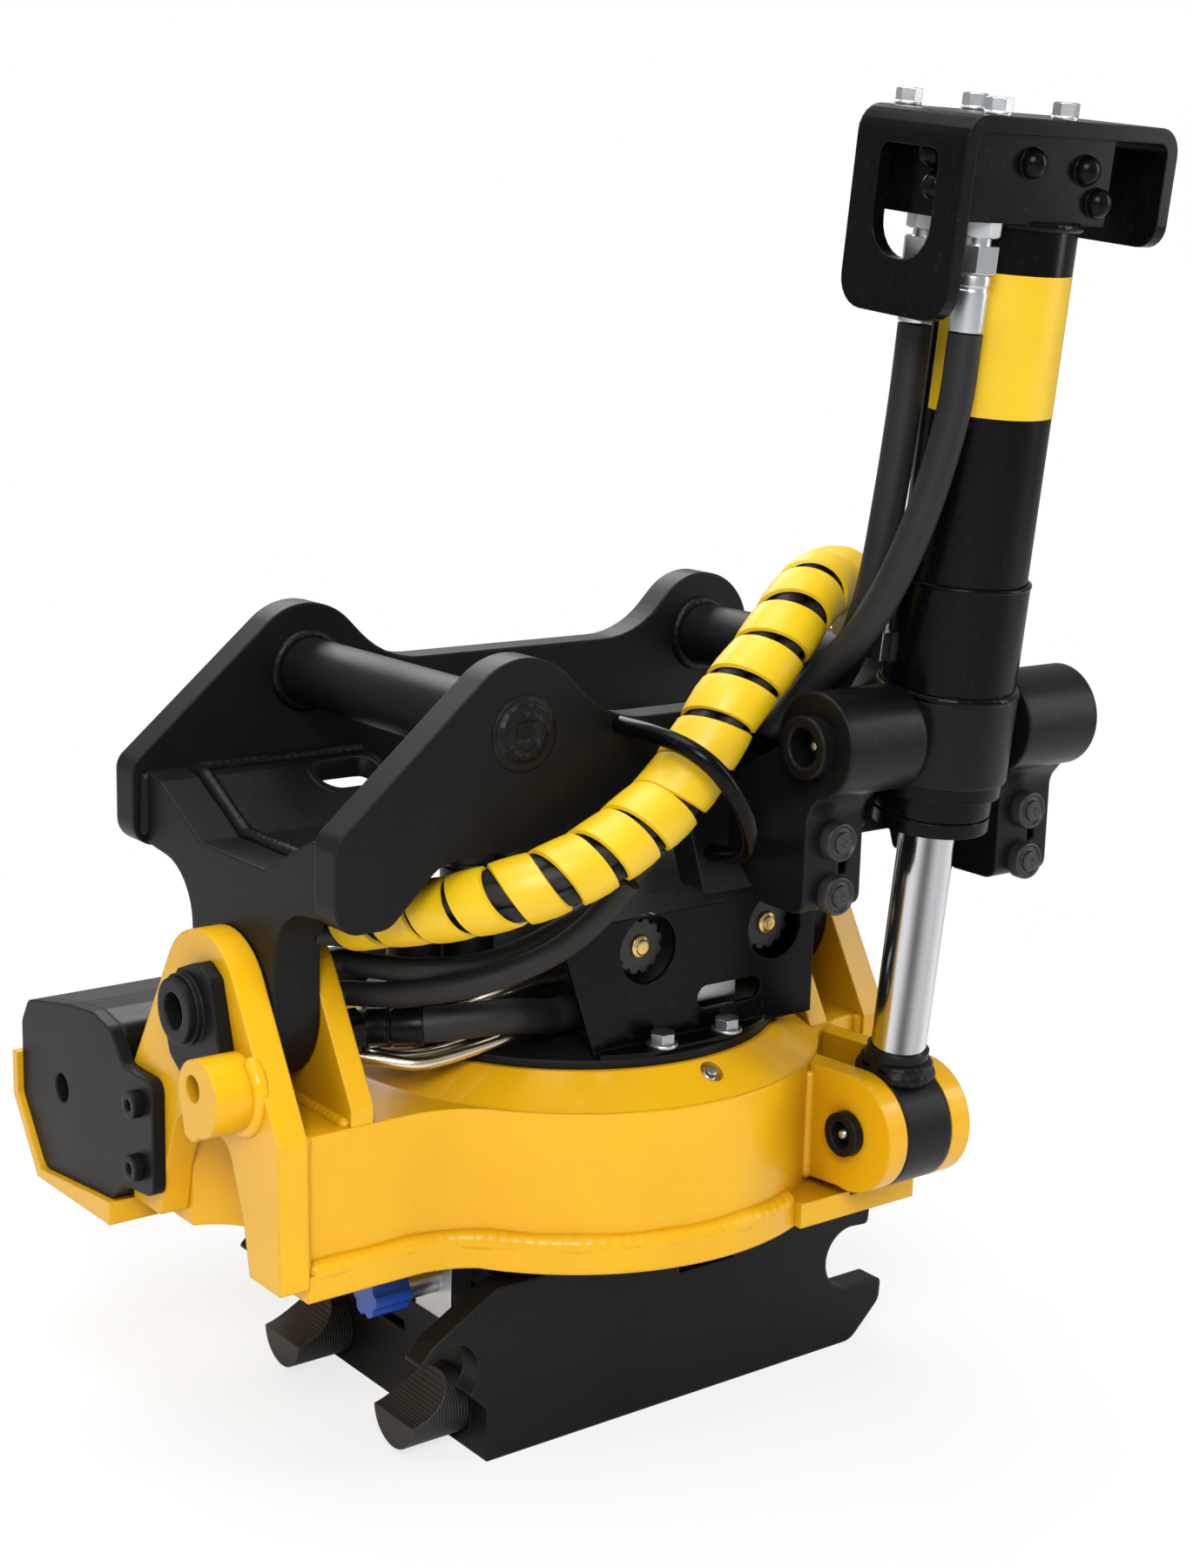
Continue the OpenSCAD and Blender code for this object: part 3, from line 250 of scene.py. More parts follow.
def yellow_enamel():
    """Glossy paint, paler on edges, scuffed in spots, and darkened in crevices by painted shade."""
    f = Finish("yellow_enamel")
    normal, edges = f.soft_edge(0.0022)
    cloud = f.noise(9.0, 4.0)
    scuff = f.noise(160.0, 5.0, 0.7).band(0.55, 0.72) * edges
    paint = cloud.band(0.3, 0.7).tint(rgb(0.77, 0.400, 0.004), rgb(0.84, 0.455, 0.006))
    thin = (edges * 0.35).tint(paint, rgb(0.88, 0.53, 0.03))
    scuffed = (scuff * 0.45).tint(thin, rgb(0.42, 0.24, 0.03))
    # Painted shade: ambient occlusion darkens the paint towards a deep brown in crevices and between plates,
    # where shade falls.
    open_air = f.node("ShaderNodeAmbientOcclusion", {"samples": 6}, {"Distance": 0.07}, out="AO")
    wear_and_any_painted_light = open_air.band(0.1, 0.75).tint(rgb(0.40, 0.185, 0.002), scuffed)
    peel = f.noise(620.0, 2.0)
    gloss = 0.24 + 0.16 * cloud + 0.25 * scuff
    return f.shade(Base_Color=wear_and_any_painted_light, Roughness=gloss, Specular_IOR_Level=0.28, Coat_Weight=0.14,
                   Coat_Roughness=0.1, Normal=f.bump(peel, 0.0004, 0.10, normal))


def black_enamel(name, edge, grain, depth, gloss, tone, shine):
    """Black paint with a little dust, drawn down in streaks, and dusty edges that are also lifted paler as a
    painted highlight.
    """
    f = Finish(name)
    normal, edges = f.soft_edge(edge)
    cloud = f.noise(11.0, 4.0)
    dust = f.noise(190.0, 5.0, 0.65).band(0.58, 0.76)
    paint = cloud.band(0.3, 0.75).tint(rgb(tone, tone, tone * 1.05), rgb(tone * 1.8, tone * 1.8, tone * 1.85))
    streaks = f.noise(70.0, 4.0, 0.6, (4.0, 4.0, 0.5)).band(0.58, 0.78)
    dusty = (dust * 0.2 + streaks * 0.12).tint(paint, rgb(0.03, 0.029, 0.028))
    # Dust settles on the edges, and every edge is lifted paler as well: that lift is a painted highlight for
    # light caught on the edges.
    wear_and_any_painted_light = (dust * edges * 0.6 + edges * 0.16).tint(dusty, rgb(0.07, 0.069, 0.07))
    peel = f.noise(grain, 3.0)
    rough = gloss + 0.16 * cloud + 0.12 * dust
    return f.shade(Base_Color=wear_and_any_painted_light, Roughness=rough, Specular_IOR_Level=shine,
                   Normal=f.bump(peel, 0.0005, depth, normal))


def plated_steel(name, colour, rough=0.24, edge=0.0008, lines=None):
    f = Finish(name)
    normal, edges = f.soft_edge(edge)
    cloud = f.noise(60.0, 4.0)
    drawn = f.noise(220.0, 4.0, 0.6, lines or (1.0, 1.0, 1.0))
    tone = cloud.tint(colour, rgb(*(0.72 * c for c in colour[:3])))
    bright = (edges * 0.4).tint(tone, rgb(0.9, 0.9, 0.9))
    return f.shade(Base_Color=bright, Metallic=1.0, Roughness=rough + 0.16 * drawn,
                   Normal=f.bump(drawn, 0.0003, 0.06, normal))


def hard_chrome():
    """Ground chrome: fine rings, and a painted reflection of long light and dark bands by the angle round the
    rod.
    """
    f = Finish("hard_chrome")
    across = f.place.dot((1.0, 0.0, 0.0))
    side = CYLINDER.to_3x3() @ Vector((0, 1, 0))
    depth = f.place.dot(side)
    angle = f.math("ARCTAN2", depth - side.dot(CYLINDER.translation), across - CYL_X * MM)
    rings = f.noise(900.0, 2.0, 0.5, (0.05, 0.05, 1.0))
    # Painted reflection: the base colour runs dark and bright by the angle round the rod, standing in for
    # reflected studio flags.
    wave = f.math("SINE", 4.0 * angle + 1.1) * 0.30 + f.math("SINE", 9.0 * angle + 0.4) * 0.14
    share = (0.46 + wave + 0.25 * (f.noise(30.0, 3.0, 0.55, (2.0, 2.0, 0.05)) - 0.5)).band(0.0, 1.0)
    tone = share.tint(rgb(0.10, 0.102, 0.105), rgb(0.72, 0.73, 0.75))
    return f.shade(Base_Color=tone, Metallic=1.0, Roughness=0.10 + 0.12 * rings,
                   Normal=f.bump(rings, 0.0001, 0.05))


def hose_cover():
    f = Finish("hose_cover")
    wrap = f.noise(700.0, 3.0, 0.6)
    weave = f.node("ShaderNodeTexWave", {"wave_type": "BANDS", "bands_direction": "DIAGONAL"},
                   {"Vector": f.place, "Scale": 260.0, "Distortion": 1.2, "Detail": 2.0}, out="Fac")
    cloud = f.noise(26.0, 3.0)
    tone = cloud.tint(rgb(0.006, 0.006, 0.0065), rgb(0.014, 0.014, 0.0145))
    relief = wrap * 0.6 + weave * 0.4
    return f.shade(Base_Color=tone, Roughness=0.46 + 0.2 * wrap, Specular_IOR_Level=0.35,
                   Normal=f.bump(relief, 0.0005, 0.28))


def moulded_plastic(name, colour, deep, rough=0.4, edge=0.0008):
    f = Finish(name)
    normal, edges = f.soft_edge(edge)
    grain = f.noise(900.0, 2.0)
    cloud = f.noise(40.0, 3.0)
    tone = cloud.tint(colour, deep)
    pale = (edges * 0.25).tint(tone, rgb(*(min(1.0, 1.5 * c + 0.02) for c in colour[:3])))
    return f.shade(Base_Color=pale, Roughness=rough + 0.12 * cloud,
                   Normal=f.bump(grain, 0.0003, 0.12, normal))


def spiral_plastic():
    f = Finish("spiral_plastic")
    cloud = f.noise(22.0, 4.0)
    streak = f.noise(120.0, 4.0, 0.6)
    tone = cloud.band(0.3, 0.7).tint(rgb(0.74, 0.46, 0.005), rgb(0.81, 0.53, 0.008))
    rubbed = (streak.band(0.6, 0.8) * 0.25).tint(tone, rgb(0.62, 0.36, 0.02))
    return f.shade(Base_Color=rubbed, Roughness=0.34 + 0.2 * streak, Normal=f.bump(streak, 0.0004, 0.10))


def scooped_steel():
    f = Finish("scooped_steel")
    normal, edges = f.soft_edge(0.0012)
    cuts = f.node("ShaderNodeTexWave", {"wave_type": "BANDS", "bands_direction": "X"},
                  {"Vector": f.place, "Scale": 160.0, "Distortion": 0.6, "Detail": 1.0}, out="Fac")
    cloud = f.noise(30.0, 4.0)
    tone = cloud.tint(rgb(0.012, 0.012, 0.013), rgb(0.03, 0.03, 0.031))
    wear_and_any_painted_light = (edges * 0.4).tint(tone, rgb(0.14, 0.14, 0.14))
    return f.shade(Base_Color=wear_and_any_painted_light, Metallic=0.3, Roughness=0.34 + 0.2 * cloud,
                   Normal=f.bump(cuts, 0.0006, 0.35, normal))


YELLOW = yellow_enamel()
BLACK = black_enamel("black_enamel", edge=0.0025, grain=420.0, depth=0.12,
                     gloss=0.34, tone=0.0050, shine=0.13)
CAST_BLACK = black_enamel("cast_black_enamel", edge=0.003, grain=210.0, depth=0.3,
                          gloss=0.28, tone=0.0032, shine=0.16)
TUBE_BLACK = black_enamel("tube_black_enamel", edge=0.0012, grain=500.0, depth=0.05,
                          gloss=0.16, tone=0.0016, shine=0.11)
ZINC = plated_steel("zinc_plate", rgb(0.66, 0.68, 0.70), 0.26)
TURNED = plated_steel("turned_steel", rgb(0.42, 0.43, 0.45), 0.3, 0.001, (0.2, 1.0, 1.0))
BRASS = plated_steel("turned_brass", rgb(0.80, 0.55, 0.20), 0.22)
BRONZE = plated_steel("bearing_bronze", rgb(0.55, 0.36, 0.14), 0.34)
PIPE = plated_steel("bright_pipe", rgb(0.80, 0.73, 0.55), 0.16)
CHROME = hard_chrome()
RUBBER = hose_cover()
BLACK_PLASTIC = moulded_plastic("black_plastic", rgb(0.010, 0.010, 0.011), rgb(0.018, 0.018, 0.019))
BLUE_PLASTIC = moulded_plastic("blue_plastic", rgb(0.010, 0.075, 0.46), rgb(0.006, 0.05, 0.34), 0.3, 0.001)
SPIRAL = spiral_plastic()
SCOOPED = scooped_steel()

SLOT_FINISH = {"yellow_paint": YELLOW, "black_paint": BLACK, "dark_steel": SCOOPED, "machined_steel": TURNED,
               "chrome": CHROME, "zinc": ZINC, "bronze": BRONZE, "brass": BRASS,
               "black_plastic": BLACK_PLASTIC, "blue_plastic": BLUE_PLASTIC, "hose_rubber": RUBBER,
               "yellow_plastic": SPIRAL}
CAST_NODES = ("trunnion_arms", "trunnion_collar", "rod_eye", "gearbox_body", "lower_side_plates")
TUBE_NODES = ("barrel", "gland", "valve_cover", "hose_loop", "head_block", "hose_guard")


def paint_solids():
    """Every solid takes the finish of its record slot; castings and tubes their own black."""
    for entry in frame["record"]["subparts"]:
        solid = frame["nodes"][entry["node"]]
        finish = SLOT_FINISH[entry["material_slot"]]
        if entry["node"] in CAST_NODES:
            finish = CAST_BLACK
        if entry["node"] in TUBE_NODES:
            finish = TUBE_BLACK
        solid.data.materials.clear()
        solid.data.materials.append(finish)


def piece(name, points, faces, finish, slot, body=None, sharp=35):
    """A finished mesh from points in metres, riding on a body."""
    mesh = bpy.data.meshes.new(name)
    mesh.from_pydata([tuple(p) for p in points], [], faces)
    tidy = bmesh.new()
    tidy.from_mesh(mesh)
    bmesh.ops.recalc_face_normals(tidy, faces=tidy.faces)
    tidy.to_mesh(mesh)
    tidy.free()
    mesh.polygons.foreach_set("use_smooth", [True] * len(mesh.polygons))
    mesh.set_sharp_from_angle(angle=math.radians(sharp))
    mesh.materials.append(finish)
    made = bpy.data.objects.new(name, mesh)
    bpy.context.scene.collection.objects.link(made)
    if body:
        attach(made, body)
    return made


class Shape:
    """Points and faces gathered from several parts of one piece."""

    def __init__(self):
        self.points = []
        self.faces = []

    def add(self, points, faces):
        start = len(self.points)
        self.points += [Vector(p) for p in points]
        self.faces += [tuple(start + i for i in face) for face in faces]
        return self

    def build(self, name, finish, slot, body=None, sharp=35):
        return piece(name, self.points, self.faces, finish, slot, body, sharp)


def loops_to_faces(rings, count, closed=False, capped=True):
    """Faces between neighbouring rings of count points each."""
    last = rings if closed else rings - 1
    faces = []
    for i in range(last):
        for k in range(count):
            a, b = i * count, ((i + 1) % rings) * count
            faces.append((a + k, a + (k + 1) % count, b + (k + 1) % count, b + k))
    if capped and not closed:
        faces.append(tuple(range(count)))
        faces.append(tuple((rings - 1) * count + k for k in range(count)))
    return faces


def axis_frame(direction):
    """Two unit vectors square to a direction."""
    along = Vector(direction).normalized()
    helper = Vector((0, 0, 1)) if abs(along.z) < 0.9 else Vector((0, 1, 0))
    side = along.cross(helper).normalized()
    return along, side, along.cross(side)


def turned(profile, origin, direction, count=40):
    """Revolves radius and height pairs, in millimetres, about an axis."""
    along, side, up = axis_frame(direction)
    points = []
    for radius, height in profile:
        centre = Vector(origin) + along * height * MM
        for k in range(count):
            a = 2 * math.pi * k / count
            points.append(centre + (side * math.cos(a) + up * math.sin(a)) * radius * MM)
    return points, loops_to_faces(len(profile), count)


def hexagon(origin, direction, across, height, turn=0.0):
    """A hexagon head with its corners turned off on top."""
    along, side, up = axis_frame(direction)
    flat = across / 2
    count = 48
    rings = ("foot", "shoulder", "top")
    points = []
    for ring in rings:
        for k in range(count):
            a = 2 * math.pi * k / count
            off = (a + math.pi / 6) % (math.pi / 3) - math.pi / 6
            radius = flat / math.cos(off)
            level = 0.0
            if ring == "shoulder":
                level = height - (radius - flat) * 0.6
            if ring == "top":
                level = height
                radius = flat * 0.94
            way = side * math.cos(a + turn) + up * math.sin(a + turn)
            points.append(Vector(origin) + (along * level + way * radius) * MM)
    return points, loops_to_faces(len(rings), count)


def smooth_route(route, steps):
    """The smooth curve of the solids through the route points, in metres."""
    points = [Vector(p) * MM for p in route]
    last = len(points) - 1
    ways = []
    for i in range(last + 1):
        reach = 1 if i in (0, last) else 2
        ways.append((points[min(i + 1, last)] - points[max(i - 1, 0)]) / reach)
    curve = []
    for i in range(last):
        for j in range(steps + (i == last - 1)):
            s = j / steps
            curve.append(points[i] * (2 * s ** 3 - 3 * s ** 2 + 1) + ways[i] * (s ** 3 - 2 * s ** 2 + s)
                         + points[i + 1] * (3 * s ** 2 - 2 * s ** 3) + ways[i + 1] * (s ** 3 - s ** 2))
    return curve


def travelling_frames(path):
    """Direction and two cross directions along a path, carried without twist."""
    frames = []
    side = None
    for i in range(len(path)):
        along = (path[min(i + 1, len(path) - 1)] - path[max(i - 1, 0)]).normalized()
        if side is None:
            side = axis_frame(along)[1]
        side = (side - along * side.dot(along)).normalized()
        frames.append((along, side, along.cross(side)))
    return frames


def swept(path, radius, count=20):
    """A round tube along a path; radius is a number in millimetres or a function of the index."""
    points = []
    for i, (point, (along, side, up)) in enumerate(zip(path, travelling_frames(path))):
        r = (radius(i) if callable(radius) else radius) * MM
        for k in range(count):
            a = 2 * math.pi * k / count
            points.append(point + (side * math.cos(a) + up * math.sin(a)) * r)
    return points, loops_to_faces(len(path), count)


def spaced(path, step):
    """The path again, with points at even steps, in metres."""
    out = [path[0]]
    left = step
    for a, b in zip(path, path[1:]):
        length = (b - a).length
        at = left
        while at <= length:
            out.append(a.lerp(b, at / length))
            at += step
        left = at - length
    if (out[-1] - path[-1]).length > step * 0.3:
        out.append(path[-1])
    return out


def weld(route, size=4.0, pitch=5.0, ripple=0.06):
    """A rippled weld bead along points in millimetres."""
    path = spaced([Vector(p) * MM for p in route], pitch * MM / 8)
    ends = len(path) - 1

    def swell(i):
        wave = ((1 - math.fabs(math.sin(math.pi * i / 8))) * ripple
                + 0.05 * math.sin(0.11 * i) + 0.03 * math.sin(0.043 * i + 1))
        return size * (1 + wave) * min(1.0, 0.6 + 0.1 * min(i, ends - i))

    return swept(path, swell, 12)


def arc(centre, radius, start, stop, count):
    """Points of an arc in plan, angles in degrees."""
    points = []
    for i in range(count + 1):
        a = math.radians(start + (stop - start) * i / count)
        points.append((centre[0] + radius * math.cos(a), centre[1] + radius * math.sin(a)))
    return points


def ring_weld(matrix, radius, level, size, axis="Z", ripple=0.06):
    """A weld bead round a tube in the frame of a matrix."""
    route = []
    steps = 96
    for i in range(steps + 1):
        a = math.radians(360 * i / steps)
        flat = (radius * math.cos(a), radius * math.sin(a), level)
        spot = {"Z": flat, "Y": (flat[0], level, flat[1])}[axis]
        route.append(matrix @ (Vector(spot) * MM) / MM)
    return weld(route, size, 5.0, ripple)


# Camera and studio

def photo_camera():
    """Camera at the photograph's viewing angle, 1370 by 1800 frame."""
    spot = (-0.8438, -1.1212, 0.6676)
    focal_pixels = 2787.0
    frame_width = 1370
    sensor = 36.0
    azimuth, pitch, roll = (math.radians(a) for a in (-37.55, 12.48, 1.51))
    depth = Vector((-math.sin(azimuth) * math.cos(pitch), math.cos(azimuth) * math.cos(pitch),
                    -math.sin(pitch)))
    level = Vector((math.cos(azimuth), math.sin(azimuth), 0))
    rise = level.cross(depth)
    right = level * math.cos(roll) + rise * math.sin(roll)
    up = rise * math.cos(roll) - level * math.sin(roll)
    data = bpy.data.cameras.new("photo_camera")
    data.sensor_fit = "HORIZONTAL"
    data.sensor_width = sensor
    data.lens = sensor * focal_pixels / frame_width
    data.clip_end = 50
    camera = bpy.data.objects.new("photo_camera", data)
    bpy.context.scene.collection.objects.link(camera)
    turn = Matrix((right, up, -depth)).transposed().to_4x4()
    camera.matrix_world = Matrix.Translation(spot) @ turn
    bpy.context.scene.camera = camera


def soft_box(name, spot, aim, size, power):
    data = bpy.data.lights.new(name, "AREA")
    data.shape = "RECTANGLE"
    data.size, data.size_y = size
    data.energy = power
    lamp = bpy.data.objects.new(name, data)
    lamp.location = spot
    lamp.rotation_euler = (Vector(aim) - Vector(spot)).to_track_quat("-Z", "Y").to_euler()
    bpy.context.scene.collection.objects.link(lamp)


def pale_floor():
    """Floor that keeps the shadow and runs out into white."""
    floor_mesh = bpy.data.meshes.new("floor")
    half = 6.0
    corners = [(-half, -half, 0), (half, -half, 0), (half, half, 0), (-half, half, 0)]
    floor_mesh.from_pydata(corners, [], [(0, 1, 2, 3)])
    floor = bpy.data.objects.new("floor", floor_mesh)
    bpy.context.scene.collection.objects.link(floor)
    f = Finish("pale_floor")
    seen = f.node("ShaderNodeLightPath", out="Is Camera Ray")
    reach = f.node("ShaderNodeVectorMath", {"operation": "LENGTH"}, {0: f.place}, out="Value")
    pale = f.node("ShaderNodeBsdfDiffuse", None, {"Color": rgb(0.86, 0.86, 0.86)})
    glow = f.node("ShaderNodeEmission", None, {"Color": rgb(1, 1, 1), "Strength": 1.0})
    away = 0.76 + 0.24 * reach.band(0.45, 1.25)
    both = f.node("ShaderNodeMixShader", None, {0: seen * away, 1: pale, 2: glow})
    f.node("ShaderNodeOutputMaterial", None, {"Surface": both})
    floor_mesh.materials.append(f.material)


def surroundings():
    """White to the camera, and for light brighter above and to the left."""
    world = bpy.data.worlds.new("studio")
    bpy.context.scene.world = world
    world.use_nodes = True
    world.node_tree.nodes.clear()
    w = Value(world.node_tree)
    way = w.node("ShaderNodeTexCoord", out="Generated")
    left = way.dot((-0.94, 0.34, 0.0))
    rise = way.dot((0.0, 0.0, 1.0))
    level = 0.05 + 0.28 * rise.band(0.15, 0.85) + 0.15 * left.band(0.45, 0.95)
    eye = w.node("ShaderNodeLightPath", out="Is Camera Ray")
    glass = w.node("ShaderNodeLightPath", out="Is Transmission Ray")
    metal = w.node("ShaderNodeLightPath", out="Is Glossy Ray") * 0.34
    lit = w.node("ShaderNodeBackground", None, {"Color": rgb(0.98, 0.99, 1.0), "Strength": level})
    white = w.node("ShaderNodeBackground", None, {"Color": rgb(1, 1, 1), "Strength": 1.0})
    mixed = w.node("ShaderNodeMixShader", None, {0: eye + glass + metal, 1: lit, 2: white})
    w.node("ShaderNodeOutputWorld", None, {"Surface": mixed})


def studio():
    """Floor, surroundings and four soft boxes."""
    bpy.context.scene.view_settings.view_transform = "Standard"
    pale_floor()
    surroundings()
    soft_box("key_box", (-1.5, -1.9, 1.9), (0, 0, 0.3), (1.1, 1.1), 60)
    soft_box("side_box", (1.9, -1.4, 1.1), (0.05, 0, 0.35), (0.35, 1.7), 16)
    soft_box("back_box", (0.6, 1.9, 1.7), (0, 0, 0.3), (1.6, 0.8), 24)
    soft_box("top_box", (-0.3, 0.1, 2.3), (0, 0, 0.3), (1.5, 1.5), 32)


# Hoses

def hose(name, route, radius, steps=8):
    """A plain hose piece along its route, and the path that it follows."""
    path = smooth_route(route, steps)
    made = piece(name, *swept(path, radius, 24), RUBBER, "hose_rubber")
    return made, path


def route_length(path):
    return sum((b - a).length for a, b in zip(path, path[1:]))


def declare_hose(path):
    route_length(path)


def cylinder_hoses():
    """Two hoses from the fittings on the barrel to the near ear."""
    for name, route in (("near_cylinder_hose", NEAR_HOSE_ROUTE), ("far_cylinder_hose", FAR_HOSE_ROUTE)):
        made, path = hose(name, route, CYLINDER_HOSE_R)
        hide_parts("cylinder_hoses")
        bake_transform(made)
        declare_hose(path)


def valve_hoses():
    """Feed hose on the housing, and the two hoses from the front clevis up to the bundle."""
    feed, path = hose("feed_hose", FEED_ROUTE, FEED_R)
    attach(feed, "housing")
    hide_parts("valve_hoses")
    declare_hose(path)
    for name, route in (("return_hose", RETURN_ROUTE), ("drain_hose", DRAIN_ROUTE)):
        made, path = hose(name, route, RETURN_R)
        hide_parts("valve_hoses")
        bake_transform(made)
        declare_hose(path)


def bundle_radius(share):
    """Radius of the bundle at a share of its length; it swells over the first part."""
    return BUNDLE_END_R + (BUNDLE_R - BUNDLE_END_R) * min(1.0, 2.5 * share)


def spiral_guard():
    """Flat strip wound round the hose bundle; it opens on the outside of each bend."""
    path = spaced(smooth_route(BUNDLE_ROUTE, 24), 0.001)
    frames = travelling_frames(path)
    length = len(path) - 1
    pitch, width, thick, per_turn = 26.0, 23.0, 2.4, 48

    def spot(s, angle, radius):
        at = max(0.0, min(length - 0.001, s))
        i = int(at)
        side, up = (frames[i][k].lerp(frames[i + 1][k], at - i) for k in (1, 2))
        outward = side * math.cos(angle) + up * math.sin(angle)
        return path[i].lerp(path[i + 1], at - i) + outward * radius * MM

    turns = (length - width) / pitch
    rows = int(turns * per_turn)
    section = [(-0.5, 0.0), (-0.46, 0.8), (-0.2, 1.0), (0.2, 1.0), (0.46, 0.8), (0.5, 0.0),
               (0.3, -0.5), (-0.3, -0.5)]
    points = []
    reach = 10
    for row in range(rows + 1):
        angle = 2 * math.pi * row / per_turn
        s = width / 2 + pitch * row / per_turn
        outer = bundle_radius(s / length) - 0.2
        stretch = (spot(s + reach, angle, outer) - spot(s - reach, angle, outer)).length / (2 * reach * MM)
        for across, lift in section:
            shift = across * width / max(0.82, min(1.5, stretch))
            points.append(spot(s + shift, angle, outer - thick + thick * max(lift, 0.0) + min(lift, 0.0)))
    faces = loops_to_faces(rows + 1, len(section))
    strip = piece("spiral_guard", points, faces, SPIRAL, "yellow_plastic", "upper", 50)
    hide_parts("hose_bundle")


def bundle_core():
    """Hoses inside the spiral guard, seen in its gaps and at its ends."""
    path = spaced(smooth_route(CORE_START + BUNDLE_ROUTE, 16), 0.006)
    frames = travelling_frames(path)
    gathered = Shape()

    def strand_radius(i):
        return 0.37 * bundle_radius(i / len(path))

    for k in range(4):
        twist = math.pi / 4 + k * math.pi / 2
        lay = []
        for i, point in enumerate(path):
            along, side, up = frames[i]
            a = twist + 0.02 * i
            outward = side * math.cos(a) + up * math.sin(a)
            lay.append(point + outward * 0.47 * bundle_radius(i / len(path)) * MM)
        gathered.add(*swept(lay, strand_radius, 16))
    core = gathered.build("bundle_hoses", RUBBER, "hose_rubber", "upper")
    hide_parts("hose_bundle")


def feed_ferrule():
    """Two-step crimped ferrule and nut where the feed hose meets the front clevis."""
    path = spaced(smooth_route(FEED_ROUTE, 16), 0.001)
    gathered = Shape()

    def grooved(i):
        return FERRULE_R - (GROOVE_DEPTH if i in FERRULE_GROOVES else 0.0)

    start, stop = FERRULE_SPAN
    gathered.add(*swept(path[start:stop], grooved, 32))
    gathered.add(*hexagon(Vector((-184.4, -38, 246)) * MM, (1, 0, 0), 22, 12))
    gathered.build("feed_ferrule", TUBE_BLACK, "black_paint", "housing", 40)


def bright_pipes():
    """Two bent steel pipes that loop from the valve block past the front clevis."""
    gathered = Shape()
    for route in PIPE_ROUTES:
        gathered.add(*swept(smooth_route(route, 8), PIPE_R, 16))
    gathered.build("bright_pipes", PIPE, "zinc", "housing")


def loop_bar():
    """Round bar bent round the hose bundle, welded to the near ear at both ends."""
    bar = swept(smooth_route(LOOP_ROUTE, 10), LOOP_R, 24)
    made = piece("loop_bar", *bar, TUBE_BLACK, "black_paint", "upper")
    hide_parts("hose_loop")


def cartridges():
    """Dark bodies on the disc and the valve block, behind the hoses."""
    gathered = Shape()
    for x, y, low, high, radius in CARTRIDGES:
        tall = high - low
        body = [(0, 0), (radius, 0), (radius, tall - 12), (radius - 1, tall - 11), (radius - 1, tall - 9),
                (radius, tall - 8), (radius, tall - 1.5), (radius - 1.5, tall), (0, tall)]
        gathered.add(*turned(body, Vector((x, y, low)) * MM, (0, 0, 1), 40))
    gathered.build("cartridges", BLACK_PLASTIC, "black_plastic", "housing", 35)


# Fittings and fasteners

def hose_fittings():
    """Swivel nut, hexagon and crimped ferrule at the top of each cylinder hose."""
    gathered = Shape()
    down = CYLINDER.to_3x3() @ Vector((0, 0, -1))
    for x, y in FITTING_SPOTS:
        top = CYLINDER @ (Vector((x, y, BARREL_L)) * MM)
        gathered.add(*hexagon(top, down, 19, 8, 0.3))
        gathered.add(*turned([(0, 7), (7, 8), (7, 12), (0, 12)], top, down))
        gathered.add(*hexagon(top + down * 12 * MM, down, 21, 14, 0.7))
        ferrule = [(0, 26), (8.0, 26), (9.0, 27), (9.2, 28), (9.2, 32), (8.7, 32.6), (8.7, 34), (9.2, 34.6),
                   (9.2, 53.5), (9.0, 55.5), (0, 55.8)]
        gathered.add(*turned(ferrule, top, down))
    made = gathered.build("hose_fitting_set", ZINC, "zinc", "barrel", 30)
    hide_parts("hose_fittings")


def guard_bolts():
    """Hexagon bolts with washers on top of the hose guard."""
    gathered = Shape()
    up = CYLINDER.to_3x3() @ Vector((0, 0, 1))
    for x, y in GUARD_BOLTS:
        foot = CYLINDER @ (Vector((x, y, GUARD_TOP)) * MM)
        gathered.add(*turned([(0, 0), (6.8, 0), (6.9, 0.4), (6.9, 1.4), (6.6, 1.8), (0, 1.8)], foot, up))
        gathered.add(*hexagon(foot + up * 1.8 * MM, up, 11.8, 7.0, 0.2 * x))
    made = gathered.build("guard_bolt_set", ZINC, "zinc", "barrel", 30)
    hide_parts("guard_bolts")


def cover_bolts():
    """Flange bolts with plated washers at the foot of the valve cover."""
    washers, heads = Shape(), Shape()
    for x, y in COVER_BOLTS:
        foot = Vector((x, y, DISC_TOP + 3)) * MM
        washers.add(*turned([(0, 0), (8.8, 0), (9, 0.4), (9, 1.6), (8.6, 2), (0, 2)], foot, (0, 0, 1)))
        heads.add(*hexagon(foot + Vector((0, 0, 2)) * MM, (0, 0, 1), 13, 6, 0.4))
    plated = washers.build("cover_washers", ZINC, "zinc", "housing", 30)
    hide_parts("cover_bolts")
    dark = heads.build("cover_bolt_heads", TURNED, "zinc", "housing", 30)
    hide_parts("cover_bolts")


def coil_screws():
    """Brass screws with a stepped head in the middle of the coil nuts."""
    gathered = Shape()
    for x in COIL_X:
        seat = Vector((x, COVER_Y + 8, COIL_Z)) * MM
        head = [(0, 0), (6.4, 0), (6.6, 0.5), (6.4, 1.6), (4.4, 2.4), (4.0, 3.4), (1.6, 3.9), (0, 3.6)]
        gathered.add(*turned(head, seat, (0, -1, 0), 32))
    made = gathered.build("coil_screw_set", BRASS, "brass", "housing", 30)
    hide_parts("coil_screws")


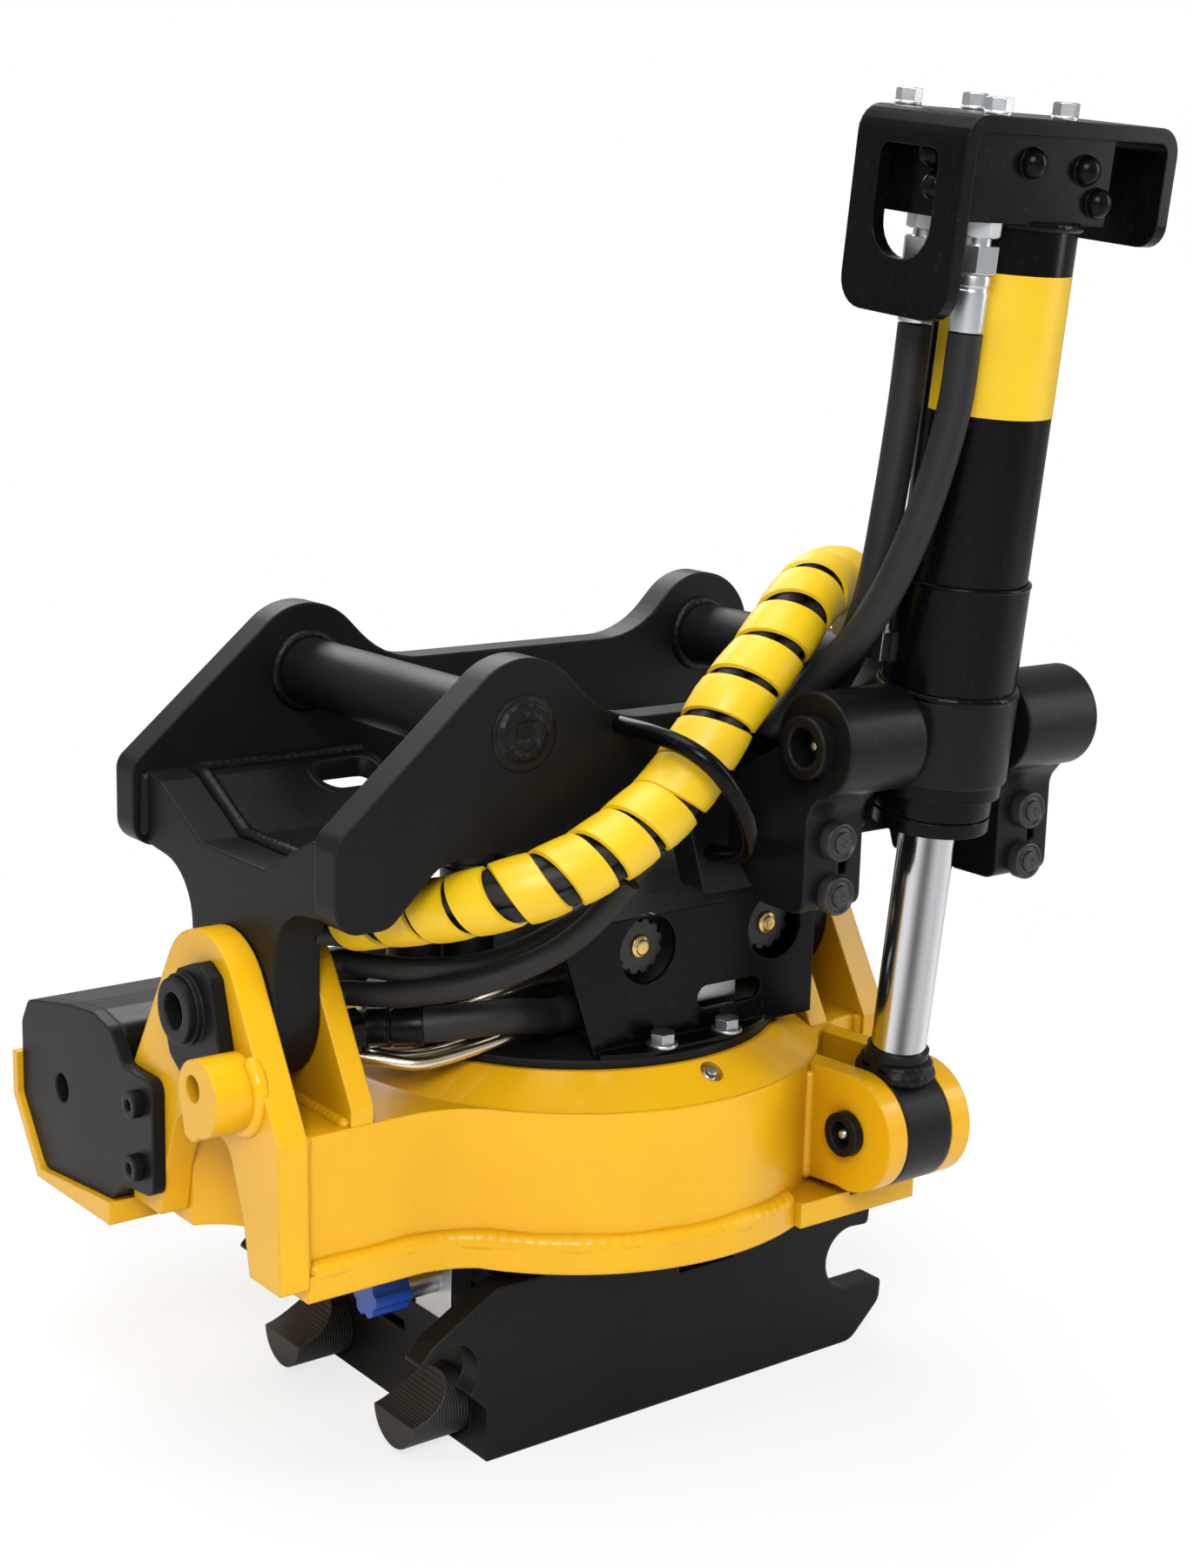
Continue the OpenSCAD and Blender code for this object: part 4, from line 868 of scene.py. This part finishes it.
def arm_caps():
    """Round plastic caps over the arm bolts, with a rim and a dished face."""
    gathered = Shape()
    dish = [(0, 0), (11, 0), (11, 5.6), (10.4, 6.8), (9.4, 7.2), (8.8, 6.6), (8.2, 5.9), (6.2, 6.4),
            (5.8, 8.2), (5.0, 8.7), (2.4, 8.7), (1.8, 7.9), (0, 7.7)]
    for x in ARM_CAP_X:
        for z in ARM_CAP_Z:
            gathered.add(*turned(dish, Vector((x, ARM_FACE_Y, z)) * MM, (0, -1, 0)))
    made = gathered.build("arm_cap_set", BLACK_PLASTIC, "black_plastic", "upper", 30)
    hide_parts("arm_caps")


def grease_nipples():
    """Grease nipples in the hollow trunnion, in the rod eye pin and in the housing dimple."""
    trunnion = Shape()
    spot = CYLINDER @ (Vector((TRUNNION_NIPPLE_X, 0, 0)) * MM)
    trunnion.add(*turned(NIPPLE, spot, (-1, 0, 0), 20))
    trunnion.build("trunnion_nipple", ZINC, "zinc", "barrel", 30)
    housing = Shape()
    housing.add(*turned(NIPPLE, Vector((87, *ROD_PIN)) * MM, (-1, 0, 0), 20))
    out_of_cone = (0, -0.602, 0.799)
    dimple = Vector((2, -134.5, 217)) - Vector(out_of_cone) * 6
    housing.add(*turned([(0, 0), (6.6, 0), (6.6, 1.4), (5.8, 2), (0, 2)], dimple * MM, out_of_cone, 28))
    housing.add(*turned(NIPPLE[:-4] + [(2.6, 6.0), (0, 6.2)], dimple * MM, out_of_cone, 20))
    housing.build("housing_nipples", ZINC, "zinc", "housing", 30)


def barrel_band():
    """Plain yellow film round the upper barrel."""
    count, low, high, radius = 48, 178, 252, BARREL_R + 0.18
    points = []
    for level in (low, high):
        for k in range(count + 1):
            a = math.radians(-196 + 200 * k / count)
            points.append(CYLINDER @ (Vector((radius * math.cos(a), radius * math.sin(a), level)) * MM))
    faces = [(k, k + 1, count + 2 + k, count + 1 + k) for k in range(count)]
    piece("barrel_band", points, faces, SPIRAL, "yellow_plastic", "barrel")


# Welds

def plan_edge(side):
    """Line where the housing wall stands on its flange, from the front tongue round to the rear one."""
    fillet_y = TONGUE_HALF + TONGUE_FILLET
    fillet_x = math.sqrt((WALL_R + TONGUE_FILLET) ** 2 - fillet_y ** 2)
    fillet_a = math.degrees(math.atan2(fillet_y, fillet_x))
    start = (FRONT_PLATE_X[1] + 2, TONGUE_HALF)
    front = arc((-fillet_x, fillet_y), TONGUE_FILLET, -90, -fillet_a, 12)
    wall = arc((0, 0), WALL_R, 180 - fillet_a, fillet_a, 40)
    rear = arc((fillet_x, fillet_y), TONGUE_FILLET, 180 + fillet_a, 270, 12)
    stop = (REAR_OUTER_X[0] - 2, TONGUE_HALF)
    return [(x, side * y, FLANGE_TOP) for x, y in [start] + front + wall + rear + [stop]]


def housing_welds():
    """Painted beads at the flange, the clevis plates, the lifting lug and the cylinder lugs."""
    gathered = Shape()
    near = [p for p in plan_edge(-1) if p[0] < 60]
    gathered.add(*weld(near, 6.2, 7.0, 0.05))
    far = [p for p in plan_edge(1) if p[0] > 94]
    gathered.add(*weld(far, 6.2, 7.0, 0.05))
    for y in (-TONGUE_HALF, TONGUE_HALF):
        gathered.add(*weld([(FRONT_PLATE_X[1], y, FLANGE_TOP), (FRONT_PLATE_X[1], y, WALL_TOP + 2)], 4.4))
        gathered.add(*weld([(REAR_OUTER_X[0], y, FLANGE_TOP), (REAR_OUTER_X[0], y, WALL_TOP)], 4.0))
    half = TONGUE_HALF - 3
    for x in FRONT_INNER_X:
        gathered.add(*weld([(x, -half, WALL_TOP), (x, half, WALL_TOP)], 4.0))
    gathered.add(*weld([(FRONT_PLATE_X[1], -half, WALL_TOP), (FRONT_PLATE_X[1], half, WALL_TOP)], 4.0))
    lug_y, lug_z, lug_r = LIFTING_LUG_BEAD
    lift = []
    for tenth in range(20, 62):
        a = tenth / 10
        lift.append((FRONT_PLATE_X[0], lug_y + lug_r * math.cos(a), lug_z + lug_r * math.sin(a)))
    gathered.add(*weld(lift, 4.6))
    for x in (83, 97):
        wall_y = -math.sqrt(WALL_R ** 2 - x ** 2)
        gathered.add(*weld([(x, wall_y, FLANGE_TOP + 4), (x, wall_y, WALL_TOP - 6)], 4.2))
    for x in (133, 147):
        gathered.add(*weld([(x, -TONGUE_HALF - 1, FLANGE_TOP + 2), (x, -TONGUE_HALF - 1, WALL_TOP - 6)], 4.0))
    gathered.build("housing_welds", YELLOW, "yellow_paint", "housing", 60)


def upper_welds():
    """Beads between saddle, lug plates and ears, and the plugs over the pin ends."""
    gathered = Shape()
    for x, shift in ((FRONT_LUG_X[1], 1), (REAR_LUG_X[0], -1)):
        route = [(x + shift, y, z + 0.5) for y, z in SADDLE_PROFILE]
        gathered.add(*weld(route, 4.6, 6.0))
    for y in (-EAR_Y, EAR_Y):
        inner = y - math.copysign(1, y)
        gathered.add(*weld([(FRONT_LUG_X[1], inner, 368.5), (-84, inner, 368.5)], 4.4, 6.0))
        for x in (*FRONT_LUG_X, *REAR_LUG_X):
            gathered.add(*weld([(x, inner, 334), (x, inner, 370)], 4.2))
    for x in UPPER_PIN_X:
        for y, way in ((-EAR_Y - EAR_T, -1), (EAR_Y + EAR_T, 1)):
            spot = Vector((x, y, UPPER_PIN_Z)) * MM
            gathered.add(*turned(PIN_PLUG, spot, (0, way, 0), 48))
            pin_axis = Matrix.Translation((x * MM, 0, UPPER_PIN_Z * MM))
            gathered.add(*ring_weld(pin_axis, PIN_R + 1, y - way * 20.5, 3.6, axis="Y"))
            swirl = [(16 - 0.13 * k, 0.16 * k) for k in range(76)]
            route = [(x + r * math.cos(a), y, UPPER_PIN_Z + r * math.sin(a)) for r, a in swirl]
            gathered.add(*weld(route, 2.6, 6.0, 0.2))
    gathered.build("upper_welds", CAST_BLACK, "black_paint", "upper", 60)


def saddle_height(y):
    """Top of the bent saddle at a distance from the middle."""
    for (y0, z0), (y1, z1) in zip(SADDLE_PROFILE, SADDLE_PROFILE[1:]):
        if y0 <= y <= y1:
            return z0 + (z1 - z0) * (y - y0) / (y1 - y0)


def saddle_rims():
    """Thin rolled rim round each oval hole of the saddle."""
    x0, y0, half, radius = SADDLE_HOLE
    gathered = Shape()
    count = 64
    for side in (-1, 1):
        points = []
        for out, lift in RIM_SECTION:
            for k in range(count):
                a = 2 * math.pi * k / count
                shift = math.copysign(half, math.cos(a))
                x = x0 + shift + (radius + out) * math.cos(a)
                y = side * y0 + (radius + out) * math.sin(a)
                points.append(Vector((x, y, saddle_height(y) + lift)) * MM)
        gathered.add(points, loops_to_faces(len(RIM_SECTION), count, True))
    gathered.build("saddle_rims", BLACK, "black_paint", "upper", 50)


def cylinder_welds():
    """Fine seams round the barrel and the bead at the rod eye, ground flat where it passes the lugs."""
    barrel = Shape()
    for radius, level, size, ripple in ((BARREL_R + 1.2, 86, 1.4, 0.0), (BARREL_R + 2, 25, 2.8, 0.04),
                                        (BARREL_R, BARREL_L - 1, 2.6, 0.05)):
        barrel.add(*ring_weld(CYLINDER, radius, level, size, ripple=ripple))
    barrel.build("barrel_welds", TUBE_BLACK, "black_paint", "barrel", 60)
    eye = Shape()
    for radius, level, size in ((18.5, 35, 4.6), (18, 40, 3.2)):
        points, faces = ring_weld(CYLINDER, radius, -CYL_LEN + level, size, ripple=0.1)
        ground = (CYL_X - EYE_WELD_HALF) * MM, (CYL_X + EYE_WELD_HALF) * MM
        eye.add([Vector((min(max(p.x, ground[0]), ground[1]), p.y, p.z)) for p in points], faces)
    eye.build("rod_eye_weld", CAST_BLACK, "black_paint", "rod", 60)


photo_camera()
studio()
paint_solids()
cylinder_hoses()
valve_hoses()
spiral_guard()
bundle_core()
feed_ferrule()
bright_pipes()
loop_bar()
cartridges()
hose_fittings()
guard_bolts()
cover_bolts()
coil_screws()
arm_caps()
grease_nipples()
barrel_band()
housing_welds()
upper_welds()
saddle_rims()
cylinder_welds()
